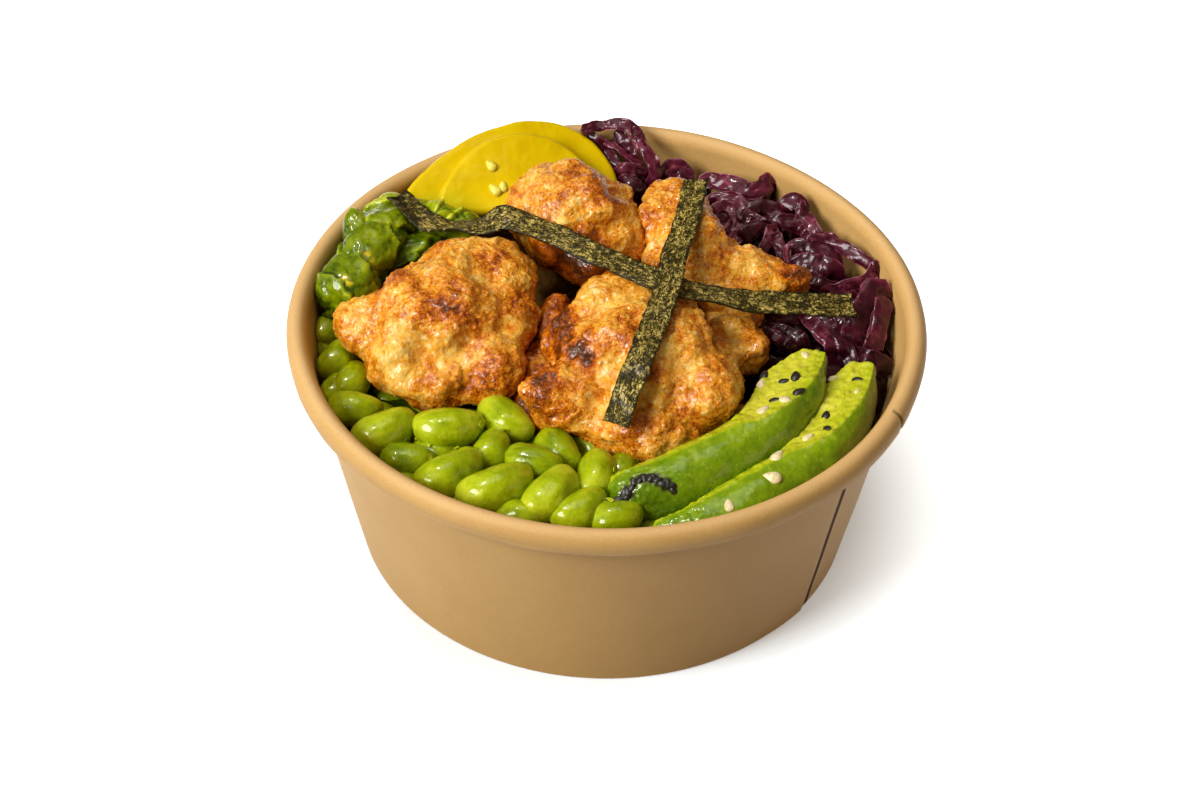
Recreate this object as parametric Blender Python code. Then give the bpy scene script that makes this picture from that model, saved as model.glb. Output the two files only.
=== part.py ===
"""A chicken karaage bowl: a kraft paper takeaway bowl filled with fried chicken and vegetables.

Blender 4.5. The sizes below are in millimetres, and MM turns them into the scene's metres as each
mesh is made. +Z is up. The origin is the centre of the ring that the bowl stands on, and -Y faces
the viewer who reads the bowl with the beans at the front left and the avocado at the front right.
"""

import math

import bmesh
import bpy
import numpy as np
from mathutils import Matrix, Vector, noise
from mathutils.bvhtree import BVHTree
from mathutils.interpolate import poly_3d_calc

MM = 0.001
CLEARANCE = 0.35  # between any two pieces that touch

# Bowl: outside sizes of a 750 ml paper bowl
RIM_DIAMETER = 150.0
HEIGHT = 61.5
FOOT_DIAMETER = 121.0
ROLL_WIDTH = 5.0
ROLL_HEIGHT = 6.6
WALL_TOP_RADIUS = RIM_DIAMETER / 2 - ROLL_WIDTH + 0.4
BOARD = 0.8
HEM_HEIGHT = 5.0
BASE_LIFT = 6.2  # the base sits this high inside the foot
SEAM_ANGLE = -39.0  # where the outer ply of the side seam ends, in degrees about +Z
SEAM_LAP = 13.0  # degrees over which that ply lies on the inner one
SEAM_STEP = 0.5
SEAM_EDGE = 0.35  # degrees over which the wall drops from the outer ply's edge to the inner ply
WALL_STEPS = 40
BASE_STEPS = 30

# Filling
BED_LEVEL = 48.0
BED_FLOOR = BASE_LIFT + BOARD + CLEARANCE
BED_EDGE = 37.0  # the bed's outline is the wall's at this height
BED_MARGIN = 3 * CLEARANCE  # the bed stays this far below the food on it

WALL_MARGIN = CLEARANCE + 0.25  # the food keeps this far inside the wall, whose sides are flat
FOOT_RADIUS = FOOT_DIAMETER / 2
ROLL_BOTTOM = HEIGHT - ROLL_HEIGHT


def wall_outside(z):
    """Radius of the wall's outer face at height z."""
    return FOOT_RADIUS + (WALL_TOP_RADIUS - FOOT_RADIUS) * z / ROLL_BOTTOM


def wall_inside(z):
    """Radius of the space inside the bowl at height z, which ends at the rolled rim."""
    return min(wall_outside(z) - BOARD, RIM_DIAMETER / 2 - ROLL_WIDTH)


def pressed_in(point):
    """The same place, or the nearest one inwards that clears the bowl's wall."""
    held = wall_inside(point.z) - WALL_MARGIN
    reach = math.hypot(point.x, point.y)
    if reach <= held:
        return point
    return Vector((point.x * held / reach, point.y * held / reach, point.z))


# ---------------------------------------------------------------- meshes and objects


def clear_scene():
    for obj in list(bpy.data.objects):
        bpy.data.objects.remove(obj)


def material(name, colour, roughness):
    made = bpy.data.materials.new(name)
    made.use_nodes = True
    shader = made.node_tree.nodes["Principled BSDF"]
    shader.inputs["Base Color"].default_value = (*colour, 1.0)
    shader.inputs["Roughness"].default_value = roughness
    shader.inputs["Metallic"].default_value = 0.0
    return made


def add_object(name, points, faces, surface, smooth=True):
    """An object from points in millimetres, with its faces turned outwards."""
    mesh = bpy.data.meshes.new(name)
    mesh.from_pydata([tuple(MM * value for value in point) for point in points], [], faces)
    made = bmesh.new()
    made.from_mesh(mesh)
    bmesh.ops.recalc_face_normals(made, faces=made.faces)
    made.to_mesh(mesh)
    made.free()
    if smooth:
        mesh.shade_smooth()
        mesh.set_sharp_from_angle(angle=math.radians(40))
    mesh.materials.append(surface)
    obj = bpy.data.objects.new(name, mesh)
    bpy.context.scene.collection.objects.link(obj)
    return obj


def apply_modifiers(obj):
    """Gives the object the mesh that its modifiers make, and removes them."""
    graph = bpy.context.evaluated_depsgraph_get()
    mesh = bpy.data.meshes.new_from_object(obj.evaluated_get(graph))
    obj.modifiers.clear()
    obj.data = mesh


def boolean(obj, operation, others, solver="EXACT"):
    """Cuts the others from obj or joins them to it, and removes the others."""
    tools = bpy.data.collections.new("tools")
    for other in others:
        tools.objects.link(other)
    modifier = obj.modifiers.new(operation.title(), "BOOLEAN")
    modifier.operation = operation
    modifier.operand_type = "COLLECTION"
    modifier.collection = tools
    modifier.solver = solver
    apply_modifiers(obj)
    for other in others:
        bpy.data.objects.remove(other)
    bpy.data.collections.remove(tools)


def swollen_copy(obj, by=CLEARANCE):
    """A copy of obj that is larger by the clearance on every side."""
    copy = obj.copy()
    copy.data = obj.data.copy()
    bpy.context.scene.collection.objects.link(copy)
    normals = [vertex.normal.copy() for vertex in copy.data.vertices]
    for vertex, normal in zip(copy.data.vertices, normals):
        vertex.co += normal * by * MM
    return copy


def make_room(obj, *neighbours):
    """Cuts obj back so that it clears each neighbour, and keeps its largest piece."""
    for neighbour in neighbours:
        boolean(obj, "DIFFERENCE", [swollen_copy(neighbour)])
    keep_largest(obj)


def keep_largest(obj):
    """Drops every loose scrap of the mesh but the largest."""
    made = bmesh.new()
    made.from_mesh(obj.data)
    unseen = set(made.faces)
    islands = []
    while unseen:
        island = [unseen.pop()]
        for face in island:
            for edge in face.edges:
                for beside in edge.link_faces:
                    if beside in unseen:
                        unseen.remove(beside)
                        island.append(beside)
        islands.append(island)
    largest = max(islands, key=len)
    loose = set(made.faces) - set(largest)
    bmesh.ops.delete(made, geom=list(loose), context="FACES")
    made.to_mesh(obj.data)
    made.free()


def reduce_to(obj, triangles):
    """Collapses edges until about this many triangles are left."""
    obj.data.calc_loop_triangles()
    modifier = obj.modifiers.new("Decimate", "DECIMATE")
    modifier.ratio = min(1.0, triangles / len(obj.data.loop_triangles))
    apply_modifiers(obj)


def tree_of(objects):
    """One search tree over several objects, in millimetres."""
    points, faces = [], []
    for obj in objects:
        start = len(points)
        points += [obj.matrix_world @ vertex.co / MM for vertex in obj.data.vertices]
        faces += [[start + index for index in face.vertices] for face in obj.data.polygons]
    return BVHTree.FromPolygons(points, faces)


def sphere_grid(detail):
    """Unit directions and triangles of an icosphere."""
    made = bmesh.new()
    bmesh.ops.create_icosphere(made, subdivisions=detail, radius=1.0)
    directions = [vertex.co.normalized() for vertex in made.verts]
    faces = [[vertex.index for vertex in face.verts] for face in made.faces]
    made.free()
    return directions, faces


def circle(radius, steps):
    """Evenly spaced (x, y) places on a circle."""
    angles = [2 * math.pi * step / steps for step in range(steps)]
    return [(radius * math.cos(angle), radius * math.sin(angle)) for angle in angles]


def turn(yaw=0.0, pitch=0.0, roll=0.0):
    """Turns about X by pitch and Y by roll, then about Z by yaw, in degrees."""
    about_x = Matrix.Rotation(math.radians(pitch), 3, "X")
    about_y = Matrix.Rotation(math.radians(roll), 3, "Y")
    return Matrix.Rotation(math.radians(yaw), 3, "Z") @ about_y @ about_x


# ---------------------------------------------------------------- the bowl


def lap_height(angle):
    """How far the seam's outer ply stands out at this angle about +Z, from 0 to SEAM_STEP."""
    along = (angle - SEAM_ANGLE) % 360
    back = 360 - along
    if along <= SEAM_LAP:
        return 0.0
    return SEAM_STEP * max(0.0, 1 - back / SEAM_LAP)


def ring_solid(name, profile, lap, angles, surface):
    """A closed ring: the profile of (radius, height) points, carried round the angles given.

    lap holds, for each profile point, the share of the seam's step that it takes."""
    points, faces = [], []
    count = len(profile)
    for angle in angles:
        step = lap_height(angle)
        across = math.cos(math.radians(angle))
        along = math.sin(math.radians(angle))
        for (radius, height), share in zip(profile, lap):
            reach = radius + step * share
            points.append((reach * across, reach * along, height))
    for ring in range(len(angles)):
        after = (ring + 1) % len(angles)
        for index in range(count):
            beside = (index + 1) % count
            here, ahead = ring * count, after * count
            faces.append((here + index, ahead + index, ahead + beside, here + beside))
    return add_object(name, points, faces, surface)


def roll_profile():
    """The rolled rim from its lower outer edge over the top to the inner wall, with seam shares."""
    centre_radius = RIM_DIAMETER / 2 - ROLL_WIDTH / 2
    centre_height = HEIGHT - ROLL_HEIGHT / 2
    points = []
    for degrees in (-62, -25, 15, 50, 85, 120, 150, 180):
        across = math.cos(math.radians(degrees))
        up = math.sin(math.radians(degrees))
        points.append((centre_radius + ROLL_WIDTH / 2 * across, centre_height + ROLL_HEIGHT / 2 * up))
    return points


def make_bowl_wall(surface):
    """The side wall with its rolled rim, its lap seam and the hem folded up inside the foot."""
    roll = roll_profile()
    foot_inside = FOOT_RADIUS - BOARD
    hem_outside = foot_inside - 2 * CLEARANCE - BOARD
    hem_inside = hem_outside - BOARD
    outer = [
        (FOOT_RADIUS, 0.0),
        (wall_outside(HEM_HEIGHT), HEM_HEIGHT),
        (wall_outside(ROLL_BOTTOM), ROLL_BOTTOM),
    ]
    inner = [
        (wall_inside(ROLL_BOTTOM - 1.0), ROLL_BOTTOM - 1.0),
        (wall_inside(BASE_LIFT), BASE_LIFT),
        (foot_inside, BOARD),
        (hem_outside, BOARD),
        (hem_outside, HEM_HEIGHT),
        (hem_inside, HEM_HEIGHT),
        (hem_inside, 0.0),
    ]
    profile = outer + roll + inner
    lap = [1.0] * len(outer) + [0.5, 0.5, 0.5, 0.3, 0.1, 0.0, 0.0, 0.0] + [0.0] * len(inner)
    start = SEAM_ANGLE + SEAM_EDGE
    angles = [start + (360 - SEAM_EDGE) * step / WALL_STEPS for step in range(WALL_STEPS + 1)]
    return ring_solid("bowl_wall", profile, lap, angles, surface)


def make_bowl_base(surface):
    """The round base with the skirt that the foot's hem grips, as a profile spun about the axis."""
    skirt_outside = FOOT_RADIUS - BOARD - CLEARANCE
    skirt_inside = skirt_outside - BOARD
    low = BOARD + CLEARANCE
    rings = [
        (wall_inside(BASE_LIFT) - CLEARANCE, BASE_LIFT + BOARD),
        (skirt_outside, low),
        (skirt_inside, low),
        (skirt_inside, BASE_LIFT),
    ]
    points = [(0.0, 0.0, BASE_LIFT + BOARD), (0.0, 0.0, BASE_LIFT)]
    faces = []
    for radius, height in rings:
        points += [(*place, height) for place in circle(radius, BASE_STEPS)]
    for step in range(BASE_STEPS):
        after = (step + 1) % BASE_STEPS
        starts = [2 + ring * BASE_STEPS for ring in range(len(rings))]
        faces.append((0, starts[0] + step, starts[0] + after))
        for upper, lower in zip(starts, starts[1:]):
            faces.append((upper + step, lower + step, lower + after, upper + after))
        faces.append((1, starts[-1] + after, starts[-1] + step))
    return add_object("bowl_base", points, faces, surface)


# ---------------------------------------------------------------- lumps: chicken and greens


def reach_of(direction, lobes, crease):
    """How far from the middle a union of ellipsoids reaches in one direction.

    Each lobe is (x, y, z, radius x, radius y, radius z, yaw). crease rounds the joins."""
    reaches = []
    for x, y, z, radius_x, radius_y, radius_z, yaw in lobes:
        back = Matrix.Rotation(math.radians(-yaw), 3, "Z")
        shrink = Vector((1 / radius_x, 1 / radius_y, 1 / radius_z))
        ray = (back @ direction) * shrink
        start = (back @ Vector((-x, -y, -z))) * shrink
        across = ray.dot(ray)
        along = start.dot(ray)
        under = along * along - across * (start.dot(start) - 1)
        if under >= 0:
            reaches.append((-along + math.sqrt(under)) / across)
    furthest = max(reaches)
    return furthest + crease * math.log(sum(math.exp((reach - furthest) / crease) for reach in reaches))


def make_lump(name, middle, lobes, detail, crags, seed, surface):
    """A closed lump that is seen whole from its middle, with crags as (height, width) pairs."""
    directions, faces = sphere_grid(detail)
    middle = Vector(middle)
    lobes = [(*(Vector(lobe[:3]) - middle), *lobe[3:]) for lobe in lobes]
    spread = Vector(max(abs(lobe[axis]) + lobe[axis + 3] for lobe in lobes) for axis in range(3))
    shift = Vector((seed * 31.7, seed * 17.3, seed * 9.1))
    points = []
    for direction in directions:
        aim = (direction * spread).normalized()
        reach = reach_of(aim, lobes, 0.7)
        place = aim * reach
        for height, width in crags:
            reach += height * noise.noise(place / width + shift)
        points.append(aim * reach + middle)
    return add_object(name, points, faces, surface)


CRUST = ((3.4, 9.0), (2.0, 4.6))  # bumps as (height, width)

# Each piece: its middle, the triangles it keeps, and the lobes that it is made of, in the order in
# which the pieces lie, each as (x, y, z, radius x, radius y, radius z, yaw)
CHICKEN = {
    "chicken_left": (
        (-38.0, -3.0, 59.0),
        800,
        (
            (-39, -2, 58.5, 18.5, 16, 12.5, 20),
            (-54, -2.5, 57.5, 10, 9, 8, 0),
            (-33, 11.5, 62.5, 12, 10, 8, 0),
            (-25, 9, 61, 8.5, 11, 8, 0),
            (-27, -14, 55, 8, 9.5, 8, 0),
            (-39, -17, 54, 11, 8.5, 7, 0),
            (-47.5, -14.5, 55.5, 8, 8.5, 8, 0),
            (-23.5, -1, 58, 7, 9, 8, 0),
        ),
    ),
    "chicken_front": (
        (7.0, -16.0, 59.0),
        900,
        (
            (9.5, -16, 58.5, 17, 17, 12, -20),
            (3, 0, 62, 11, 9.5, 8.5, 0),
            (14.5, -6, 61, 9.5, 9, 8, 0),
            (22.5, -24, 57, 9.5, 11, 9, 0),
            (9, -31, 53.5, 13, 10.5, 7.5, 0),
            (-8.5, -26, 56, 9.5, 8, 8, 0),
            (-5.5, -9, 59, 8, 9, 8, 0),
        ),
    ),
    "chicken_back": (
        (-8.0, 30.0, 63.0),
        640,
        (
            (-8, 31, 62.5, 15, 13.5, 11.5, 0),
            (-17, 34, 62.5, 8, 9, 7.5, 0),
            (-11.5, 40.5, 65, 10, 8, 7.5, 0),
            (1, 31, 62.5, 7.5, 10, 8.5, 0),
            (-4, 23, 59, 10, 8, 8, 0),
        ),
    ),
    "chicken_right": (
        (24.0, 19.0, 60.5),
        700,
        (
            (19.5, 20, 61, 12, 12, 9.5, 0),
            (17, 33, 64.5, 8.5, 9, 6.5, 0),
            (13, 29, 63, 6, 6, 6, 0),
            (33, 15.5, 60, 10, 7, 6.5, -10),
            (43, 15.5, 60, 6.5, 3.8, 4, -5),
            (30, 7, 56.5, 8, 7.5, 7, 0),
        ),
    ),
    "chicken_small": (
        (30.0, -3.0, 54.5),
        240,
        (
            (30, -3, 54.5, 7.5, 6.5, 6.5, -20),
            (34.5, -5, 53.5, 4.5, 4.5, 4.5, 0),
            (26, 3.5, 56, 4.5, 5.5, 5, 0),
        ),
    ),
    "chicken_low": (
        (-15.5, -6.0, 50.0),
        270,
        (
            (-15, -12, 48.5, 8, 12, 7, 0),
            (-16, -22, 48, 6, 6, 6, 0),
            (-11.5, 5.5, 57, 4.6, 4.2, 4.6, 0),
            (-13, 0, 52, 5, 7, 6, 0),
        ),
    ),
}


def make_chicken(surface):
    """The six pieces, each cut back where it lies under or against those made before it."""
    made = {}
    for seed, (name, (middle, triangles, lobes)) in enumerate(CHICKEN.items()):
        detail = 4 if triangles > 500 else 3
        piece = make_lump(name, middle, lobes, detail, CRUST, seed + 1, surface)
        make_room(piece, *made.values())
        reduce_to(piece, triangles)
        made[name] = piece
    return made


# ---------------------------------------------------------------- avocado


# Cross-section of a slice as (outwards, up): a rounded skin side up to its ridge, then the inner side
SLICE_SECTION = (
    (-5.0, -7.6),
    (0.5, -8.6),
    (5.0, -7.2),
    (7.4, -3.4),
    (7.6, 0.8),
    (6.4, 4.0),
    (4.2, 6.0),
    (1.8, 7.0),
    (-0.8, 7.2),
    (-3.2, 6.4),
    (-5.4, 4.6),
    (-7.4, 1.6),
    (-8.2, -2.8),
)
SLICE_STATIONS = 14
SLICE_CUT = (0.5, 7.4, 5.0, 0.29)  # from this share on the top is cut: start height, drop, side slope
SLICE_TIP = (0.80, 0.64, (1.8, 2.6))  # from this share on it narrows by this much about this place
SLICE_BENDS = (0.9, 1.6)  # how the drop and the narrowing grow with the length: 1 is straight
SLICE_FULL = 0.34  # a slice has its full size from this share of its length on
NEAR_END = 5.5  # the near end is rounded over this length
NEAR_LEAST = 0.4  # the share of its size that the slice starts with

# Each slice: the line through its section's middle, its lean inwards at either end in degrees, its
# size and how full its near end is
AVOCADO = {
    "avocado_inner": (
        ((1.0, -51.5, 50.0), (17.0, -47.0, 52.0), (36.0, -33.5, 54.5), (47.6, -10.5, 58.0)),
        22.0,
        -4.0,
        1.0,
        0.66,
    ),
    "avocado_outer": (
        ((11.0, -61.0, 48.5), (28.0, -55.5, 50.5), (48.5, -37.5, 52.5), (59.0, -12.5, 56.5)),
        24.0,
        -2.0,
        0.92,
        0.30,
    ),
}

# Sesame seeds that lie on them, as (x, y, heading)
SESAME_SIZE = (1.7, 1.1, 0.8)
SEEDS = {
    "avocado_inner": (
        (36.4, -21.5, 20),
        (40.7, -22.5, 80),
        (43.4, -21.6, 60),
        (43.9, -26.6, 40),
        (38.4, -29.5, 70),
        (35.2, -24.0, 30),
        (46.3, -14.6, 10),
        (40.9, -29.5, 15),
        (35.5, -32.5, 20),
        (6.3, -53.0, 30),
        (8.6, -51.0, 20),
        (11.4, -50.6, 170),
        (14.6, -52.6, 150),
    ),
    "avocado_outer": (
        (57.6, -20.0, 60),
        (49.8, -32.0, 20),
        (49.8, -36.0, 80),
        (53.4, -20.3, 0),
        (45.5, -39.0, 10),
        (38.3, -45.5, 30),
        (37.2, -52.0, 10),
        (27.4, -60.0, 60),
    ),
    "pickle_front": (
        (-29.7, 50.2, 80),
        (-28.6, 44.3, 120),
        (-26.2, 46.0, 40),
    ),
}


def slice_size(share, near_full):
    """How full the slice is at this share of its length: slender at the start."""
    start = min(1.0, share / SLICE_FULL)
    return near_full + (1 - near_full) * math.sin(start * math.pi / 2)


def slice_section(share):
    """The section at this share of the length, cut off at its top and narrowed towards the far end."""
    cut_from, height, drop, slope = SLICE_CUT
    tip_from, narrowing, about = SLICE_TIP
    level = height - drop * max(0.0, (share - cut_from) / (1 - cut_from)) ** SLICE_BENDS[0]
    full = 1 - narrowing * max(0.0, (share - tip_from) / (1 - tip_from)) ** SLICE_BENDS[1]
    cut = [Vector((across, min(up, level + slope * across))) for across, up in SLICE_SECTION]
    return [Vector(about) + (spot - Vector(about)) * full for spot in cut]


def smooth_line(knots, count):
    """Points spaced evenly along a smooth curve through the knots."""
    knots = [Vector(place) for place in knots]
    ends = [2 * knots[0] - knots[1], *knots, 2 * knots[-1] - knots[-2]]
    dense = []
    for before, first, second, after in zip(ends, ends[1:], ends[2:], ends[3:]):
        for step in range(16):
            share = step / 16
            curve = (after - 3 * second + 3 * first - before) * share**3
            curve += (2 * before - 5 * first + 4 * second - after) * share**2
            curve += (second - before) * share + 2 * first
            dense.append(curve / 2)
    dense.append(knots[-1])
    lengths = np.cumsum([0.0] + [(after - before).length for before, after in zip(dense, dense[1:])])
    stops = np.linspace(0, lengths[-1], count)
    axes = [np.interp(stops, lengths, [place[axis] for place in dense]) for axis in range(3)]
    return [Vector(place) for place in zip(*axes)], stops


def headings(places):
    """Unit directions along a line of points."""
    last = len(places) - 1
    return [(places[min(i + 1, last)] - places[max(i - 1, 0)]).normalized() for i in range(last + 1)]


def make_slice(name, knots, lean_start, lean_end, size, near_full, surface):
    """A wedge of avocado: its section carried along its line, then rounded off at the near end."""
    places, stops = smooth_line(knots, SLICE_STATIONS)
    points, faces = [], []
    count = len(SLICE_SECTION)
    for place, way, stop in zip(places, headings(places), stops):
        share = stop / stops[-1]
        side = way.cross(Vector((0, 0, 1))).normalized()
        up = side.cross(way)
        near = min(1.0, stop / (NEAR_END * near_full))
        rounded = max(NEAR_LEAST, math.sqrt(1 - (1 - near) ** 2))
        full = size * slice_size(share, near_full) * rounded
        lean = Matrix.Rotation(math.radians(lean_start + (lean_end - lean_start) * share), 2)
        for corner in slice_section(share):
            spot = lean @ corner * full
            points.append(pressed_in(place + side * spot.x + up * spot.y))
    for station in range(SLICE_STATIONS - 1):
        first, second = station * count, (station + 1) * count
        for index in range(count):
            beside = (index + 1) % count
            faces.append((first + index, first + beside, second + beside, second + index))
    faces.append(tuple(range(count)))
    faces.append(tuple(range((SLICE_STATIONS - 1) * count, SLICE_STATIONS * count)))
    return add_object(name, points, faces, surface)


def lay_seeds(obj, places):
    """Fuses half-sunk seeds to the top of obj."""
    tree = tree_of([obj])
    directions, faces = sphere_grid(1)
    seeds = []
    for x, y, heading in places:
        hit, normal, _, _ = tree.ray_cast(Vector((x, y, 120)), Vector((0, 0, -1)))
        if hit is None:
            continue
        stand = normal.to_track_quat("Z", "Y").to_matrix() @ Matrix.Rotation(math.radians(heading), 3, "Z")
        points = [hit + stand @ (direction * Vector(SESAME_SIZE)) for direction in directions]
        seeds.append(add_object("seed", points, faces, obj.data.materials[0]))
    boolean(obj, "UNION", seeds, solver="MANIFOLD")  # EXACT leaves open edges round some seeds


def make_avocado(surface, neighbours):
    made = {}
    for name, sizes in AVOCADO.items():
        made[name] = make_slice(name, *sizes, surface)
        make_room(made[name], *neighbours, *(made[other] for other in made if other != name))
    return made


# ---------------------------------------------------------------- pickled radish


PICKLE_THICKNESS = 3.2
PICKLE_YAW = 22.5
PICKLE_SLOPE = 27.3
PICKLE_MIDDLE = (-23.3, 41.3, 53.1)  # on the back slice's mid plane
PICKLE_ARC = (-8.0, 158.0)  # the part of the round outline that is left, in degrees
# Each slice: its layer, the middle of its outline on the slope, its half width to the left and to
# the right, its height and how far its top leans over to the right
PICKLE = {
    "pickle_back": (0, (0.0, 0.0), 35.0, 28.5, 27.0, 0.30),
    "pickle_front": (1, (1.0, -3.0), 23.0, 23.0, 25.5, 0.10),
}
PICKLE_WAVES = (0.7, 0.13, 0.9)  # the slices' ripple: height, waves for each millimetre, phase


def ripple(across):
    height, rate, phase = PICKLE_WAVES
    return height * math.sin(rate * across + phase)


def make_pickle(name, layer, middle, left, right, rise, skew, surface):
    """A half-round slice on the slope: two fans of points about its cut edge, and its rounded rim."""
    stand = turn(PICKLE_YAW, PICKLE_SLOPE)
    level = layer * (PICKLE_THICKNESS + CLEARANCE)
    rings, spokes = 5, 18
    outline = []
    for spoke in range(spokes + 1):
        angle = math.radians(PICKLE_ARC[0] + (PICKLE_ARC[1] - PICKLE_ARC[0]) * spoke / spokes)
        width = right if math.cos(angle) > 0 else left
        up = rise * math.sin(angle)
        outline.append(Vector((middle[0] + width * math.cos(angle) + skew * up, middle[1] + up)))
    hub = (outline[0] + outline[-1]) / 2

    def placed(spot, height):
        return stand @ Vector((spot.x, spot.y, height + level + ripple(spot.x))) + Vector(PICKLE_MIDDLE)

    half = PICKLE_THICKNESS / 2
    points = [placed(hub, -half), placed(hub, half)]
    rows = [(ring / rings, half) for ring in range(1, rings)] + [(0.965, half), (1.0, 0.5 * half)]
    rows += [(share, -height) for share, height in reversed(rows)]
    for share, height in rows:
        points += [placed(hub.lerp(spot, share), height) for spot in outline]
    width = spokes + 1
    faces = []
    for row in range(len(rows) - 1):
        for spoke in range(spokes):
            corner = 2 + row * width + spoke
            faces.append((corner, corner + 1, corner + width + 1, corner + width))
    last = 2 + (len(rows) - 1) * width
    for spoke in range(spokes):
        faces.append((1, 3 + spoke, 2 + spoke))
        faces.append((0, last + spoke, last + spoke + 1))
    for end in (0, spokes):
        edge = [1] + [2 + row * width + end for row in range(len(rows))] + [0]
        faces += [
            (edge[i], edge[i + 1], edge[-2 - i], edge[-1 - i]) for i in range(len(edge) // 2 - 1)
        ]
    return add_object(name, points, faces, surface)


# ---------------------------------------------------------------- heaps


SETTLE_STEP = 0.5
SETTLE_STEPS = 30
SETTLE_GAP = CLEARANCE + 0.25


def make_pad(name, start, end, inside, low, high, surface, stations=12):
    """The core of a heap: a bank along the wall between two angles, rounded on top."""
    points, faces = [], []
    section = 7
    for station in range(stations + 1):
        share = station / stations
        angle = math.radians(start + (end - start) * share)
        full = math.sqrt(max(0.0, 1 - (2 * share - 1) ** 8))
        top = low + (high - low) * (0.35 + 0.65 * full)
        outline = (
            (inside, low),
            (wall_inside(low) - WALL_MARGIN, low),
            (wall_inside(top - 3) - WALL_MARGIN, top - 3),
            (wall_inside(top) - WALL_MARGIN - 2.5, top),
            ((inside + wall_inside(top)) / 2, top + 0.8),
            (inside + 3, top),
            (inside, top - 3),
        )
        heading = (math.cos(angle), math.sin(angle))
        points += [(radius * heading[0], radius * heading[1], height) for radius, height in outline]
    for station in range(stations):
        first, second = station * section, (station + 1) * section
        for index in range(section):
            beside = (index + 1) % section
            faces.append((first + index, first + beside, second + beside, second + index))
    faces.append(tuple(range(section)))
    faces.append(tuple(range(stations * section, (stations + 1) * section)))
    return add_object(name, points, faces, surface)


def settled(points, tree, is_clear):
    """The piece lowered in steps until it is clear of the tree, or None if it never is."""
    for drop in range(SETTLE_STEPS):
        moved = keep_in_bowl([point - Vector((0, 0, drop * SETTLE_STEP)) for point in points])
        if is_clear(moved, tree):
            return moved
    return None


def keep_in_bowl(points):
    """Moves a piece inwards until it clears the wall."""
    over = 0.0
    for point in points:
        over = max(over, math.hypot(point.x, point.y) - (wall_inside(point.z) - WALL_MARGIN))
    middle = sum(points, Vector()) / len(points)
    inwards = Vector((-middle.x, -middle.y, 0)).normalized()
    return [point + inwards * over for point in points]


def blocked(start, end, tree):
    """True if something in the tree lies between these places or close behind the second."""
    way = end - start
    return tree.ray_cast(start, way.normalized(), way.length + SETTLE_GAP)[0] is not None


def lump_is_clear(points, tree):
    centre = sum(points, Vector()) / len(points)
    return not any(blocked(centre, point, tree) for point in points)


def strip_is_clear(points, tree):
    """True if nothing lies between the strip's middle line and its corners, or along that line."""
    corners = [points[start : start + 4] for start in range(0, len(points), 4)]
    spine = [sum(four, Vector()) / 4 for four in corners]
    if any(blocked(middle, corner, tree) for middle, four in zip(spine, corners) for corner in four):
        return False
    return not any(blocked(before, after, tree) for before, after in zip(spine, spine[1:]))


BEAN = (7.6, 5.0, 4.7)  # half length, half width, half height
# Beans as (x, y, z, heading, pitch, size)
BEANS = (
    (-65.8, 3.6, 50.0, 69, 0, 0.72),
    (-62.8, -6.7, 50.5, 65, 0, 0.86),
    (-59.1, -14.6, 50.0, 76, 0, 0.76),
    (-62.7, -16.8, 48.5, 69, 0, 0.69),
    (-57.4, -24.8, 51.0, -12, 0, 0.87),
    (-49.8, -33.4, 52.0, 35, 0, 1.06),
    (-35.6, -32.8, 52.0, 6, 0, 1.06),
    (-22.8, -30.8, 51.0, -45, 0, 0.98),
    (-44.1, -41.2, 50.0, -15, 0, 0.89),
    (-34.2, -47.0, 52.5, 38, 0, 1.14),
    (-25.5, -38.6, 51.5, 70, 0, 0.79),
    (-15.9, -43.0, 51.5, -17, 0, 0.89),
    (-10.5, -40.0, 50.0, -60, 0, 0.86),
    (-23.6, -51.1, 52.5, 28, 0, 1.20),
    (-11.4, -52.1, 52.0, 57, 0, 1.08),
    (-4.2, -46.4, 51.0, 83, 0, 0.80),
    (-4.8, -56.9, 51.0, 44, 0, 0.92),
    (2.2, -60.4, 49.0, 12, 0, 0.80),
    (-18.0, -58.6, 50.0, -9, 0, 0.79),
    (-38.0, -36.5, 48.0, -22, 0, 0.82),
    (-31.0, -54.5, 48.5, 28, 0, 0.79),
    (-52.9, -37.8, 48.0, 28, 0, 0.79),
    (-42.6, -49.6, 47.5, -28, 0, 0.79),
    (-3.5, -53.5, 49.0, 20, 0, 0.75),
    (-17.0, -34.0, 46.5, 20, 0, 0.75),
)


def bean_points(place, directions):
    """The surface of one bean: an egg, bent a little to one side and creased along its seam."""
    x, y, z, heading, pitch, size = place
    stand = Matrix.Rotation(math.radians(heading), 3, "Z") @ Matrix.Rotation(math.radians(pitch), 3, "Y")
    points = []
    for direction in directions:
        along, across, up = (direction * Vector(BEAN) * size)[:]
        across *= 1 - 0.10 * along / (BEAN[0] * size)
        across += 0.035 * along * along / size
        points.append(stand @ Vector((along, across - 0.8 * size, up)) + Vector((x, y, z)))
    return points


def make_beans(surface, neighbours):
    """The heap of beans: its core and each bean that shows, sunk until it clears its neighbours."""
    core = make_pad("edamame", 172, 287, 33.0, 39.0, 49.0, surface, stations=14)
    make_room(core, *neighbours)
    tree = tree_of(neighbours)
    directions, faces = sphere_grid(2)
    beans = []
    for place in BEANS:
        points = settled(bean_points(place, directions), tree, lump_is_clear)
        if points:
            beans.append(add_object("bean", points, faces, surface))
    boolean(core, "UNION", beans)
    keep_largest(core)
    reduce_to(core, 1800)
    return core


# ---------------------------------------------------------------- greens


GREENS_LEAF = ((1.0, 6.0), (0.4, 3.0))  # folds as (height, width)
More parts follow.
